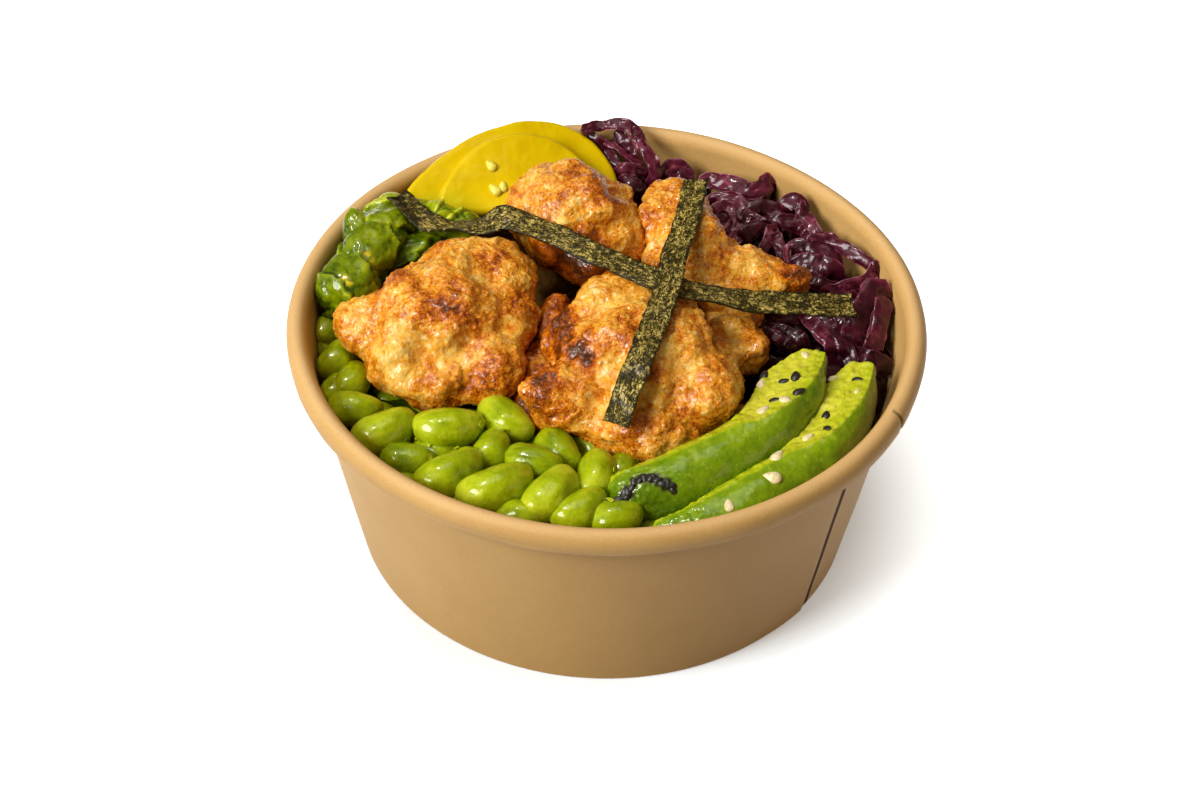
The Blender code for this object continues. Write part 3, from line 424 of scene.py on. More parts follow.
def seen(tree, spots):
    """Where each spot's pixel meets the tree, the normal there, and what else the spot says."""
    for across, down, *rest in spots:
        place, ray = pixel_ray(across, down)
        spot, normal = tree.ray_cast(place, ray.normalized())[:2]
        if spot is not None:
            yield np.array(spot), normal, rest


def marks(tree, points, spots, core=0.3, squash=(1, 1, 1)):
    """How far each point lies inside the spots, given as (pixel across, pixel down, radius)."""
    shares = np.zeros(len(points))
    for spot, _, (radius,) in seen(tree, spots):
        away = np.linalg.norm((points - spot) * squash, axis=1)
        shares = np.maximum(shares, smoothstep(away, radius, core * radius))
    return shares


def laid_on(points, spot, normal, angle, lift):
    """A small piece's points, turned about the surface's normal and lifted along it."""
    stand = normal.to_track_quat("Z", "Y").to_matrix() @ Matrix.Rotation(angle, 3, "Z")
    return points @ np.array(stand).T + spot + np.array(normal) * lift


def add_camera():
    right, up, back, place = camera_axes()
    data = bpy.data.cameras.new("camera")
    data.sensor_width, data.lens, data.clip_start = SENSOR_WIDTH, LENS, 0.01
    camera = linked("camera", data)
    camera.location = place * MM
    camera.rotation_euler = Matrix((right, up, back)).transposed().to_euler()
    bpy.context.scene.camera = camera


# ---------------------------------------------------------------- materials


class Surface:
    """A Principled material whose nodes are added in short steps. Sizes are in millimetres."""

    def __init__(self, name, gloss, tint=(1, 1, 1), glow=0.0, radii=(1, 1, 1), coat=0.0, film=0.1, rough=0.5):
        """Its gloss and the gloss's tint, how light travels under it, its wet coat, and its roughness."""
        self.material = bpy.data.materials.new(name)
        self.material.use_nodes = True
        self.tree = self.material.node_tree
        self.shader = self.tree.nodes["Principled BSDF"]
        self.place = self.node("TexCoord", "Object")
        fixed = {
            "Specular IOR Level": gloss,
            "Specular Tint": (*tint, 1.0),
            "Subsurface Weight": glow,
            "Subsurface Radius": radii,
            "Subsurface Scale": MM,
            "Coat Weight": coat,
            "Coat Roughness": film,
            "Roughness": rough,
        }
        for key, value in fixed.items():
            self.shader.inputs[key].default_value = value

    def link(self, value, socket):
        if isinstance(value, bpy.types.NodeSocket):
            self.tree.links.new(value, socket)
        else:
            socket.default_value = value

    def node(self, kind, output, inputs=None, **settings):
        """One output of a new node whose inputs are numbers or the outputs of other nodes."""
        node = self.tree.nodes.new("ShaderNode" + kind)
        for key, value in settings.items():
            setattr(node, key, value)
        for key, value in (inputs or {}).items():
            self.link(value, node.inputs[key])
        return node.outputs[output]

    def read(self, key):
        return self.node("Attribute", "Fac", attribute_name=key)

    def calc(self, operation, first, second):
        return self.node("Math", "Value", {0: first, 1: second}, operation=operation)

    def varied(self, tone, *layers):
        """The tone with each (noise, weight) added to it about the noise's middle."""
        for value, weight in layers:
            change = self.calc("MULTIPLY", self.calc("SUBTRACT", value, 0.5), weight)
            tone = self.calc("ADD", tone, change)
        return tone

    def noise_at(self, place, scale, detail, roughness, distortion):
        inputs = {"Vector": place, "Scale": scale, "Detail": detail}
        inputs |= {"Roughness": roughness, "Distortion": distortion}
        return self.node("TexNoise", "Fac", inputs)

    def noise(self, size, detail=2.0, roughness=0.5, distortion=0.0, stretch=None):
        place = self.place
        if stretch is not None:
            place = self.node("VectorMath", "Vector", {0: place, 1: stretch}, operation="MULTIPLY")
        return self.noise_at(place, 1 / (size * MM), detail, roughness, distortion)

    def noise_along(self, size, stretch, detail, roughness, distortion):
        """Noise that runs along a ribbon, by its stored lengths in millimetres."""
        lengths = zip(("X", "Y"), ("along", "across"), stretch)
        stretched = {axis: self.calc("MULTIPLY", self.read(key), scale) for axis, key, scale in lengths}
        place = self.node("CombineXYZ", "Vector", stretched)
        return self.noise_at(place, 1 / size, detail, roughness, distortion)

    def spread(self, value, low, high, to_low=0.0, to_high=1.0):
        """The value's range low to high carried smoothly to another range."""
        inputs = {"Value": value, "From Min": low, "From Max": high, "To Min": to_low, "To Max": to_high}
        return self.node("MapRange", "Result", inputs, interpolation_type="SMOOTHSTEP")

    def ramp(self, value, *stops):
        """The colour at the value, from stops given as (position, red, green, blue)."""
        node = self.tree.nodes.new("ShaderNodeValToRGB")
        self.link(value, node.inputs["Fac"])
        elements = node.color_ramp.elements
        while len(elements) < len(stops):
            elements.new(0.5)
        for element, (position, *colour) in zip(elements, stops):
            element.position = position
            element.color = (*colour, 1.0)
        return node.outputs["Color"]

    def covered(self, colour, *layers):
        """The colour under layers given as (share, the layer's colour)."""
        for share, above in layers:
            colour = self.node("Mix", 2, {0: share, 6: colour, 7: (*above, 1.0)}, data_type="RGBA")
        return colour

    def bumped(self, *layers):
        """The normal that bumps give, as (height, depth in millimetres)."""
        below = {}
        for height, depth in layers:
            inputs = {"Height": height, "Distance": depth * MM, **below}
            below["Normal"] = self.node("Bump", "Normal", inputs)
        return below["Normal"]

    def finish(self, colour, roughness=None, *bumps):
        self.link(colour, self.shader.inputs["Base Color"])
        if roughness is not None:
            self.link(roughness, self.shader.inputs["Roughness"])
        if bumps:
            self.link(self.bumped(*bumps), self.shader.inputs["Normal"])
        return self.material


def kraft_material():
    """Uncoated brown board: fine pressed fibres, a few darker flecks and a soft sheen."""
    board = Surface("kraft_board", 0.44, (1.0, 0.88, 0.66))
    fibres = board.noise(0.8, 4.0, 0.65, 0.6, stretch=(1.0, 1.0, 2.4))
    fleck = board.noise(0.42, 2.0, 0.6)
    cloud = board.calc("MULTIPLY", board.noise(14.0), 0.3)
    colour = board.ramp(
        board.calc("ADD", cloud, board.calc("MULTIPLY", fibres, 0.7)),
        (0.30, 0.500, 0.278, 0.086),
        (0.5, 0.560, 0.322, 0.106),
        (0.72, 0.620, 0.370, 0.134),
    )
    colour = board.covered(
        colour,
        (board.spread(fleck, 0.64, 0.74, 0.0, 0.30), (0.30, 0.150, 0.052)),
        (board.spread(fleck, 0.36, 0.26, 0.0, 0.22), (0.72, 0.47, 0.24)),
        # The seam layer is painted shade in the seam's slit, the rim's crease and under the rim; the next is
        # painted highlight on the rim's top, its lower lip and the seam's edge.
        (board.read("seam"), (0.030, 0.010, 0.003)),
        (board.read("worn"), (0.68, 0.45, 0.23)),
    )
    roughness = board.calc("ADD", board.spread(fibres, 0.3, 0.7, 0.50, 0.66), board.read("seam"))
    return board.finish(colour, roughness, (fibres, 0.05), (fleck, 0.03))


def crust_material():
    """Fried batter: cream to red-brown by its tone (how far it has browned, with painted shade and light),
    granular and shining with oil, with small flecks painted as glints.
    """
    crust = Surface("fried_crust", 0.12, (1.0, 0.78, 0.45), 0.08, (1.4, 0.5, 0.1), 0.90, 0.09)
    fine, grit = crust.noise(0.90, 3.0, 0.72), crust.noise(0.45, 2.0, 0.6)
    pores = crust.node("TexVoronoi", "Distance", {"Scale": 1 / (0.85 * MM), "Vector": crust.place})
    grain = crust.varied(crust.calc("SUBTRACT", fine, 0.5), (grit, 0.8))
    grain = crust.calc("ADD", grain, crust.calc("MULTIPLY", crust.calc("SUBTRACT", 0.45, pores), 0.35))
    tone = crust.calc("ADD", crust.read("tone"), crust.calc("MULTIPLY", grain, crust.read("grain")))
    tone = crust.calc("ADD", tone, 0.015)
    colour = crust.ramp(
        tone,
        (0.0, 0.88, 0.53, 0.110),
        (0.20, 0.80, 0.365, 0.026),
        (0.42, 0.68, 0.212, 0.003),
        (0.60, 0.49, 0.108, 0.0),
        (0.78, 0.26, 0.042, 0.0),
        (1.0, 0.055, 0.010, 0.0),
    )
    # Pale flecks painted as glints of oil, kept off the darkest crust.
    spark = crust.spread(crust.noise(0.62, 1.0, 0.5, 1.8), 0.58, 0.67, 0.0, 0.34)
    spark = crust.calc("MULTIPLY", spark, crust.spread(tone, 0.28, 0.60, 1.0, 0.0))
    colour = crust.covered(colour, (crust.read("flour"), (0.90, 0.64, 0.27)), (spark, (0.95, 0.68, 0.30)))
    froth = crust.bumped((crust.noise(1.4, 1.5, 0.5, 1.4), 0.38))
    crust.link(froth, crust.shader.inputs["Coat Normal"])
    roughness = crust.spread(crust.noise(2.6, 2.0, 0.6), 0.35, 0.65, 0.40, 0.60)
    return crust.finish(colour, roughness, (fine, 0.24), (grit, 0.14))


def avocado_material():
    """Peeled avocado: a vivid green outside that pales to yellow across the cut."""
    flesh = Surface("avocado_flesh", 0.30, (0.95, 1.0, 0.50), 0.08, (0.9, 1.1, 0.1), 0.80, 0.11)
    cloud, grain = flesh.noise(3.5, 3.0), flesh.noise(0.6, 3.0, 0.6)
    streak = flesh.noise(1.3, 3.0, 0.6, stretch=(1.0, 0.6, 1.4))
    colour = flesh.ramp(
        flesh.varied(flesh.read("ripe"), (cloud, 0.30), (grain, 0.22)),
        (0.0, 0.040, 0.085, 0.0),
        (0.25, 0.110, 0.195, 0.0),
        (0.5, 0.235, 0.335, 0.001),
        (0.75, 0.430, 0.450, 0.006),
        (1.0, 0.660, 0.600, 0.050),
    )
    colour = flesh.covered(
        colour,
        (flesh.spread(streak, 0.58, 0.74, 0.0, 0.28), (0.60, 0.57, 0.08)),
        (flesh.read("bruise"), (0.20, 0.115, 0.020)),
        (flesh.read("char"), (0.016, 0.013, 0.004)),
    )
    return flesh.finish(colour, flesh.spread(cloud, 0.3, 0.7, 0.28, 0.44), (streak, 0.14), (grain, 0.09))


def bean_material():
    """Shelled green soybeans: smooth, moist skins with faint wrinkles."""
    bean = Surface("green_bean", 0.30, (0.95, 1.0, 0.50), 0.05, (0.9, 1.2, 0.1), 0.55, 0.09)
    cloud = bean.noise(3.2, 3.0)
    colour = bean.ramp(
        bean.varied(bean.read("tint"), (cloud, 0.6), (bean.noise(0.7, 3.0, 0.6), 0.25)),
        (0.0, 0.035, 0.055, 0.0),
        (0.35, 0.170, 0.232, 0.0),
        (0.65, 0.320, 0.385, 0.001),
        (1.0, 0.520, 0.550, 0.020),
    )
    bumps = (bean.noise(1.5, 2.0, 0.5, 0.8), 0.16), (bean.noise(0.4), 0.03)
    return bean.finish(colour, bean.spread(cloud, 0.3, 0.7, 0.22, 0.34), *bumps)


def leaf_material():
    """Cooked leaves, wet, dark to yellow-green, with painted shade in the folds and painted highlights on the
    crests.
    """
    leaf = Surface("cooked_leaf", 0.28, (0.90, 1.0, 0.45), 0.06, (0.7, 1.0, 0.1), 0.50, 0.08)
    cloud, vein = leaf.noise(3.4, 3.0, 0.55, 0.4), leaf.noise(1.3, 3.0, 0.6, 1.0)
    colour = leaf.ramp(
        leaf.varied(leaf.read("crest"), (cloud, 0.55), (vein, 0.30)),
        (0.0, 0.010, 0.020, 0.0),
        (0.3, 0.060, 0.100, 0.0),
        (0.6, 0.200, 0.255, 0.0),
        (0.82, 0.410, 0.440, 0.008),
        (1.0, 0.640, 0.600, 0.060),
    )
    spots = (leaf.read("yellow"), (0.66, 0.46, 0.01)), (leaf.read("brown"), (0.075, 0.030, 0.004))
    roughness = leaf.spread(cloud, 0.3, 0.7, 0.20, 0.36)
    return leaf.finish(leaf.covered(colour, *spots), roughness, (vein, 0.18), (leaf.noise(0.5), 0.05))


def cabbage_material():
    """Red cabbage: dark glossy purple faces with fine ribs, pale mauve where it is cut, and painted shade and
    highlights in its tone.
    """
    leaf = Surface("red_cabbage", 0.22, (1.0, 0.55, 0.68), 0.05, (0.9, 0.3, 0.4), 0.45, 0.14)
    cloud = leaf.noise(2.2, 3.0, 0.6)
    veins = leaf.noise_along(0.55, (0.16, 1.0), 3.0, 0.6, 0.5)
    colour = leaf.ramp(
        leaf.varied(leaf.calc("SUBTRACT", leaf.read("pale"), 0.06), (cloud, 0.55), (veins, 0.55)),
        (0.0, 0.016, 0.0008, 0.0030),
        (0.30, 0.060, 0.0040, 0.0130),
        (0.55, 0.150, 0.0180, 0.0400),
        (0.78, 0.360, 0.1300, 0.1700),
        (1.0, 0.620, 0.4000, 0.4000),
    )
    roughness = leaf.spread(cloud, 0.3, 0.7, 0.26, 0.44)
    return leaf.finish(colour, roughness, (veins, 0.16), (leaf.noise(0.5, 3.0, 0.6), 0.05))


def pickle_material():
    """Yellow pickled radish: even, bright and a little see-through."""
    radish = Surface("pickled_radish", 0.22, (1.0, 0.95, 0.20), 0.12, (2.0, 1.5, 0.1), 0.14, 0.14)
    cloud, grain = radish.noise(7.0), radish.noise(0.8, 3.0, 0.6)
    colour = radish.covered(
        radish.ramp(cloud, (0.3, 0.600, 0.395, 0.0), (0.55, 0.660, 0.450, 0.0), (0.8, 0.720, 0.505, 0.0)),
        (radish.spread(grain, 0.62, 0.80, 0.0, 0.22), (0.78, 0.60, 0.005)),
        (radish.read("leafy"), (0.46, 0.47, 0.01)),
    )
    return radish.finish(colour, radish.spread(cloud, 0.3, 0.7, 0.28, 0.40), (grain, 0.04))


def seaweed_material():
    """Toasted seaweed: matted dark green fibres with paler ones between that catch the light."""
    weed = Surface("seaweed", 0.30, (1.0, 0.85, 0.45), coat=0.14, film=0.22)
    fibre = weed.noise_along(0.62, (0.40, 1.15), 3.0, 0.70, 1.6)
    cross = weed.noise(0.50, 3.0, 0.70, 1.0)
    tone = weed.calc("ADD", weed.calc("MULTIPLY", fibre, 0.55), weed.calc("MULTIPLY", cross, 0.45))
    colour = weed.ramp(
        weed.calc("ADD", weed.varied(tone, (weed.noise(3.0), 0.20)), weed.read("light")),
        (0.45, 0.006, 0.005, 0.001),
        (0.50, 0.040, 0.030, 0.003),
        (0.54, 0.190, 0.135, 0.021),
        (0.580, 0.760, 0.570, 0.150),
    )
    colour = weed.covered(colour, (weed.read("fleck"), (0.62, 0.46, 0.14)))
    return weed.finish(colour, weed.spread(fibre, 0.3, 0.7, 0.32, 0.60), (fibre, 0.40), (cross, 0.26))


def sesame_material(name, dark, light):
    seed = Surface(name, 0.5, rough=0.38)
    colour = seed.ramp(seed.noise(0.8), (0.35, *dark), (0.65, *light))
    return seed.finish(colour, None, (seed.noise(0.35), 0.04))


def filling_material():
    """What lies under the toppings: moist and uneven, and dark brown as painted shade in the gaps between
    them.
    """
    bed = Surface("filling", 0.12, glow=0.10, radii=(1.2, 0.9, 0.5))
    cloud = bed.noise(3.0, 4.0, 0.6)
    # Dark browns, painted shade for the gaps between the toppings.
    tones = (0.3, 0.085, 0.034, 0.004), (0.55, 0.180, 0.078, 0.010), (0.8, 0.320, 0.160, 0.030)
    roughness = bed.spread(cloud, 0.3, 0.7, 0.55, 0.75)
    return bed.finish(bed.ramp(cloud, *tones), roughness, (bed.noise(0.9, 3.0), 0.3))


# ---------------------------------------------------------------- the bowl


WALL_STEPS = 250
BASE_STEPS = 140
CREASE_ANGLE = -26.5  # where the rolled rim was pinched as it was formed
CREASE_WIDTH = 0.42
SEAM_TWIST = 2.2  # degrees by which the seam's foot lies beyond its top
ROLL_ANGLES = np.linspace(-62, 180, 26)  # round the rolled rim, from under its outside to its inside
SEAM_SLIT = (1.2, 1.7)  # degrees past the seam: a slit of painted shadow up to here, then an edge of painted highlight


def lap_height(angle):
    """How far the seam's outer ply stands out at this angle about +Z."""
    along = (angle - SEAM_ANGLE) % 360
    return SEAM_STEP * np.where(along <= SEAM_LAP, 0.0, np.maximum(0.0, 1 - (360 - along) / SEAM_LAP))


def between(first, last, steps):
    """Evenly spaced points on a straight stretch of a profile, without the last."""
    shares = np.arange(steps)[:, None] / steps
    return np.array(first) + (np.array(last) - np.array(first)) * shares


def wall_at(height):
    return wall_inside(height), height


def wall_profile():
    """(radius, height) of each profile point, its share of the seam's step and its share of the roll."""
    foot_inside = FOOT_RADIUS - BOARD
    hem_outside = foot_inside - 2 * CLEARANCE - BOARD
    hem_inside = hem_outside - BOARD
    outer = between((wall_outside(0.3), 0.3), (wall_outside(ROLL_BOTTOM), ROLL_BOTTOM), 34)
    outer = np.concatenate([between((FOOT_RADIUS - 0.25, 0.0), (FOOT_RADIUS, 0.3), 2), outer])
    middle = np.array((RIM_DIAMETER / 2 - ROLL_WIDTH / 2, HEIGHT - ROLL_HEIGHT / 2))
    around = np.radians(ROLL_ANGLES)
    half = np.array((ROLL_WIDTH / 2, ROLL_HEIGHT / 2))
    roll = middle + half * np.stack([np.cos(around), np.sin(around)], axis=1)
    hem = [(foot_inside, BOARD), (hem_outside, BOARD), (hem_outside, HEM_HEIGHT), (hem_inside, HEM_HEIGHT)]
    hem += [(hem_inside, 0.25), (hem_inside + 0.25, 0.0)]
    inner = between(wall_at(ROLL_BOTTOM - 1.0), wall_at(BASE_LIFT), 24)
    inner = np.concatenate([inner, between(wall_at(BASE_LIFT), (foot_inside, BOARD), 3), hem])
    lap = np.interp(ROLL_ANGLES, (-62, 15, 85, 120), (0.5, 0.5, 0.1, 0))
    lap = np.concatenate([np.ones(len(outer)), lap, np.zeros(len(inner))])
    rolled = np.repeat((0.0, 1.0, 0.0), (len(outer), len(roll), len(inner)))
    return np.concatenate([outer, roll, inner]), lap, rolled


def wall_angles(start):
    """Angles of the wall's columns, closer together at the seam and at the rim's crease."""
    around = np.linspace(start + 1.6, start + 360 - SEAM_EDGE, WALL_STEPS)
    crease = (CREASE_ANGLE - start) % 360 + start + CREASE_WIDTH * np.linspace(-2.2, 2.2, 12)
    return np.unique(np.concatenate([start + np.array((0.0, 1.1)), around, crease]))


def wall_marks(past_seam, height, lap, rolled, crease, lip):
    """How much painted shade each point has in the seam's slit, in the rim's crease and under the rim, and
    how much painted highlight on the rim's top, its lower lip and the seam's edge.
    """
    outer = lap > 0.9
    # Painted shade: the seam's slit, the rim's crease and a band just under the rim.
    seam = 1.0 * (past_seam < SEAM_SLIT[0]) * outer + 0.7 * crease
    seam += 0.45 * smoothstep(height, ROLL_BOTTOM - 1.6, ROLL_BOTTOM) * outer * (rolled < 0.5)
    # Painted highlight: the rim's top, its lower lip and the seam's edge.
    worn = 0.35 * rolled * smoothstep(height, 60.3, 61.4) + 0.40 * lip
    worn += 0.55 * (past_seam > SEAM_SLIT[0]) * (past_seam < SEAM_SLIT[1]) * outer
    return {"seam": seam, "worn": worn}


def make_wall():
    """The side wall with its rolled rim and lap seam, a little uneven as formed board is."""
    profile, lap, rolled = wall_profile()
    start = SEAM_ANGLE + SEAM_EDGE
    angles = wall_angles(start)
    count, columns = len(profile), len(angles)
    turned = np.repeat(angles, count)
    radius, height = np.tile(profile.T, columns)
    lap, rolled = np.tile((lap, rolled), columns)
    ring = about_z(60, turned, height)
    sway = 0.16 * noise(ring, 26.0, 3) * smoothstep(height, 2.0, 12.0)
    away = (turned - CREASE_ANGLE + 180) % 360 - 180
    crease = ridge(away, CREASE_WIDTH) * rolled * (radius > RIM_DIAMETER / 2 - ROLL_WIDTH / 2)
    lip = rolled * smoothstep(height, ROLL_BOTTOM + 2.0, ROLL_BOTTOM + 1.4) * (radius > 73)
    reach = radius + lap_height(turned) * lap + sway - 0.45 * crease
    reach += 0.26 * lip * (0.8 + 0.6 * noise(ring, 9.0, 12))
    twist = SEAM_TWIST * (1 - height / ROLL_BOTTOM)
    height = height + 0.10 * noise(ring, 30.0, 8) * smoothstep(height, 30.0, 58.0) - 0.12 * crease
    marked = wall_marks(turned - start, height, lap, rolled, crease, lip)
    faces = []
    for step, index in product(range(columns), range(count)):
        here, after = step * count, (step + 1) % columns * count
        beside = (index + 1) % count
        faces.append([here + index, after + index, after + beside, here + beside])
    wall = new_object("wall_of_board", about_z(reach, turned + twist, height), faces, **marked)
    wall.data.set_sharp_from_angle(angle=math.radians(38))
    return wall


def make_base():
    """The round base with the skirt that the foot's hem grips."""
    outside = FOOT_RADIUS - BOARD - CLEARANCE
    inside = outside - BOARD
    low = BOARD + CLEARANCE
    rows = [(r, BASE_LIFT + BOARD) for r in np.linspace(2.0, wall_inside(BASE_LIFT) - CLEARANCE, 16)]
    rows += [(outside, low + 0.2), (outside - 0.2, low), (inside + 0.2, low), (inside, low + 0.2)]
    rows += [(inside, BASE_LIFT - 0.9), (inside - 0.9, BASE_LIFT)]
    rows += [(r, BASE_LIFT) for r in np.linspace(inside - 4, 2.0, 15)]
    degrees = 360 * np.arange(BASE_STEPS) / BASE_STEPS
    points = tube_points([about_z(radius, degrees, height) for radius, height in rows])
    flat = np.hypot(points[:, 0], points[:, 1]) < inside - 2
    points[:, 2] += 0.12 * noise(points, 22.0, 5) * flat
    unmarked = np.zeros(len(points))
    faces = tube_faces(len(rows), BASE_STEPS)
    return new_object("base_of_board", points, faces, seam=unmarked, worn=unmarked)


# ---------------------------------------------------------------- chicken


CRUST_VOXEL = 0.382
# Places on each piece, as (pixel across, pixel down, radius, rise, change of tone, smoothness): where
# it swells or dips, where it is browner or paler, where a fold or the part under a seaweed strip is
# darker as painted shade, and where the batter is thin and the meat smooth
PATCHES = {
    "chicken_left": (
        (395, 360, 6.5, 0.9, -0.36, 0.5), (397, 366, 1.6, 0, 0.3, 0), (366, 301, 4, 0.2, -0.3, 0.3),
        (352, 318, 3.5, 0, -0.1, 0), (410, 275, 6, 0, 0.1, 0), (462, 268, 6, 0.5, -0.16, 0),
        (510, 250, 5, 0.5, 0.08, 0), (436, 305, 4.5, 0, 0.34, 0), (455, 318, 4, 0, 0.2, 0),
        # (476, 322) darkens the fold under the ridge as painted shade.
        (476, 322, 3.6, -0.9, 0.3, 0), (497, 313, 3, -0.5, 0.08, 0.2), (521, 303, 3.5, 0, 0.22, 0),
        (514, 325, 4, 0.3, -0.14, 0.5), (492, 340, 4, 0.2, -0.18, 0.6), (438, 366, 3.6, -0.9, -0.02, 0.9),
        (420, 345, 3, -0.3, -0.1, 0.7), (452, 352, 4, 0, -0.16, 0.5), (492, 380, 6, 0.9, 0.16, 0),
        (470, 398, 2.6, 0, 0.12, 0), (380, 392, 4.5, 0, 0.14, 0), (430, 400, 5, 0, -0.06, 0.3),
        (346, 345, 4, 0.2, -0.04, 0),
    ),
    "chicken_front": (
        (590, 358, 1.7, -1.5, 0.85, 0), (574, 356, 2.4, -0.7, 0.5, 0), (583, 344, 2, -0.6, 0.4, 0),
        (562, 337, 7, 0.3, 0.5, 0), (556, 318, 5, 0.3, 0.36, 0), (543, 352, 5, 0, 0.3, 0),
        (545, 378, 4, -0.6, 0.36, 0), (560, 330, 3, -0.5, 0.16, 0), (545, 390, 6, 0.4, 0.2, 0),
        (560, 415, 5, 0, 0.16, 0), (585, 312, 5, 0.6, -0.2, 0.2), (620, 305, 5, 0.5, -0.16, 0.2),
        (612, 335, 4, 0, 0.12, 0), (598, 390, 5, -0.2, -0.16, 0.2), (590, 420, 4, 0, -0.06, 0),
        (668, 352, 3.6, 0.5, -0.34, 0.4), (690, 375, 6, 0.5, -0.1, 0), (655, 395, 4, 0, -0.18, 0.3),
        (720, 385, 5, 0, 0.14, 0), (648, 372, 2.8, -0.7, 0.06, 0), (690, 425, 6, 0, 0.08, 0),
        (625, 445, 6, 0, 0.12, 0),
    ),
    "chicken_back": (
        (600, 195, 4.5, 0, 0.28, 0), (575, 180, 4, 0.4, 0.08, 0), (530, 190, 6, 0.2, -0.06, 0),
        # From (570, 265) on, the smooth underside beneath the long seaweed strip is darkened as painted
        # shadow.
        (560, 213, 4, 0, -0.14, 0), (612, 232, 5, 0, -0.12, 0.4), (570, 265, 8, 0, 0.42, 1),
        (600, 272, 6, 0, 0.4, 1), (548, 250, 5, 0, 0.2, 1),
    ),
    "chicken_right": (
        (800, 272, 5, 0, 0.34, 0), (655, 212, 4, 0, 0.2, 0), (650, 240, 3.5, -0.3, -0.3, 0.8),
        (675, 192, 4, 0.3, -0.12, 0), (720, 225, 5, 0.3, 0.08, 0), (752, 262, 5, 0, -0.08, 0),
        (705, 258, 4, 0, -0.1, 0.3), (725, 312, 5, 0.3, -0.14, 0.7), (755, 320, 4, 0, 0.16, 0),
    ),
    "chicken_small": (
        (728, 345, 4.5, 0.3, -0.14, 0.4), (752, 362, 4, 0, 0.06, 0), (700, 330, 4, 0, 0.1, 0),
    ),
    "chicken_low": ((548, 300, 5, 0, 0.04, 0.6), (540, 320, 4, 0, 0.14, 0)),
}
# The low piece, seen only in the gap between two others, is darker as painted shade.
BASE_TONE = {"chicken_low": 0.66, "chicken_small": 0.40}
CRUST_TONE = 0.45
# White specks and threads on the crust, as (pixel across, pixel down, radius)
WHITE_BITS = {
    "chicken_left": ((402, 321, 0.8), (424, 338, 0.7), (428, 346, 0.7), (440, 364, 0.8)),
    "chicken_right": ((648, 236, 0.8), (652, 246, 0.8)),
    "chicken_front": ((589, 395, 1), (640, 440, 0.7)),
}
THREAD = (1.0, 0.6, 1.0)  # the specks reach further along Y


def patches(tree, points, spots, seed):
    """The rise, the change of tone and the smoothness that the listed places give each point."""
    ragged = 0.34 * unit_noise(points, 3.2, seed + 50) + 0.16 * unit_noise(points, 1.3, seed + 55)
    totals = np.zeros((3, len(points)))
    for spot, _, (radius, *changes) in seen(tree, spots):
        away = np.linalg.norm(points + radius * ragged - spot, axis=1)
        totals += np.array(changes)[:, None] * ridge(away, radius)
    return totals


def domes(points, size, seed, steep=1.0):
    """Rounded grains, 1 at each one's middle and 0 at its edge, and each one's number."""
    near, number = grains(points, size, seed)
    return np.clip(1 - steep * near**2, 0, 1), number


def crust_relief(points, rise, smooth, seed):
    """How far the crust stands out at each place, and how far the place is a lump's or grain's top."""
    bent = points + 0.5 * unit_noise(points, 3.0, seed + 20)
    rough = smoothstep(layered(bent, 5.0, 2, seed + 4), -0.7, 0.3) * np.clip(1 - smooth, 0.1, 1)
    bosses, boss_number = domes(bent, 3.6, seed + 9)
    lumps, lump_number = domes(bent, 1.7, seed + 3)
    fine, fine_number = domes(points, 0.95, seed + 6, 1.2)
    swell = 0.50 * noise(points, 7.0, seed) + 0.30 * noise(points, 3.4, seed + 1)
    swell += 0.65 * bosses * smoothstep(boss_number, 0.30, 0.9) * rough
    ridges = ridge(noise(bent, 2.6, seed + 11), 0.09) * (0.3 + 0.7 * rough)
    lumps = lumps * (0.4 + 0.8 * lump_number)
    fine = fine * (0.2 + 0.9 * fine_number)
    height = rise + swell + 0.22 * ridges + (0.06 + 0.30 * rough) * lumps + (0.06 + 0.28 * rough) * fine
    return height, np.maximum(lumps, ridges), fine


def crust_tone(points, node, seed, change, lumps, fine):
    """How dark the crust is at each place, 0 cream and 1 nearly black: how far it has browned, with painted
    highlight on lump and grain tops and painted shade between them and near the piece's foot.
    """
    tone = BASE_TONE.get(node, CRUST_TONE) + change
    tone += 0.24 * layered(points, 8.0, 2, seed + 40) + 0.18 * noise(points, 2.6, seed + 44)
    # Lump and grain tops paler and the hollows between them darker: painted highlight and shade.
    tone += 0.08 * noise(points, 1.1, seed + 46) - 0.10 * (lumps - 0.3) - 0.16 * (fine - 0.25)
    # Darker near each piece's foot: painted shade.
    return np.clip(tone + 0.10 * places_low(points), 0, 1)


def places_low(points):
    """1 near the foot of a piece, where it lies in the bowl, and 0 from its middle up; the crust is darkened
    there as painted shade.
    """
    bottom, top = points[:, 2].min(), points[:, 2].max()
    return smoothstep(points[:, 2], bottom + 0.45 * (top - bottom), bottom)


def make_chicken(node, seed, strips):
    """One fried piece: the model's solid with lumps, grains, browning and painted shade and light."""
    obj = fine_copy(node, node.replace("chicken", "crust"), CRUST_VOXEL, 2, 8)
    tree, normals = tree_of(obj), vertex_values(obj, "normal")
    points = lowered(places_of(obj), strips, 0.9, 0.25)
    rise, change, smooth = patches(tree, points, PATCHES[node], seed)
    relief, lumps, fine = crust_relief(points, rise, smooth, seed)
    tone = crust_tone(points, node, seed, change, lumps, fine)
    flour = 0.7 * smoothstep(noise(points, 1.3, seed + 60), 0.50, 0.75) * smoothstep(0.50 - tone, 0.0, 0.3)
    flour = np.maximum(flour, marks(tree, points, WHITE_BITS.get(node, ()), squash=THREAD))
    height = relief - np.mean(relief) + 0.10
    move_vertices(obj, lowered(points + normals * height[:, None], strips, 0.02, 1.5))
    grain = 0.20 + 0.56 * np.clip(1 - smooth, 0, 1)
    return painted(obj, tone=tone, grain=grain, flour=np.clip(flour, 0, 1))


# ---------------------------------------------------------------- avocado


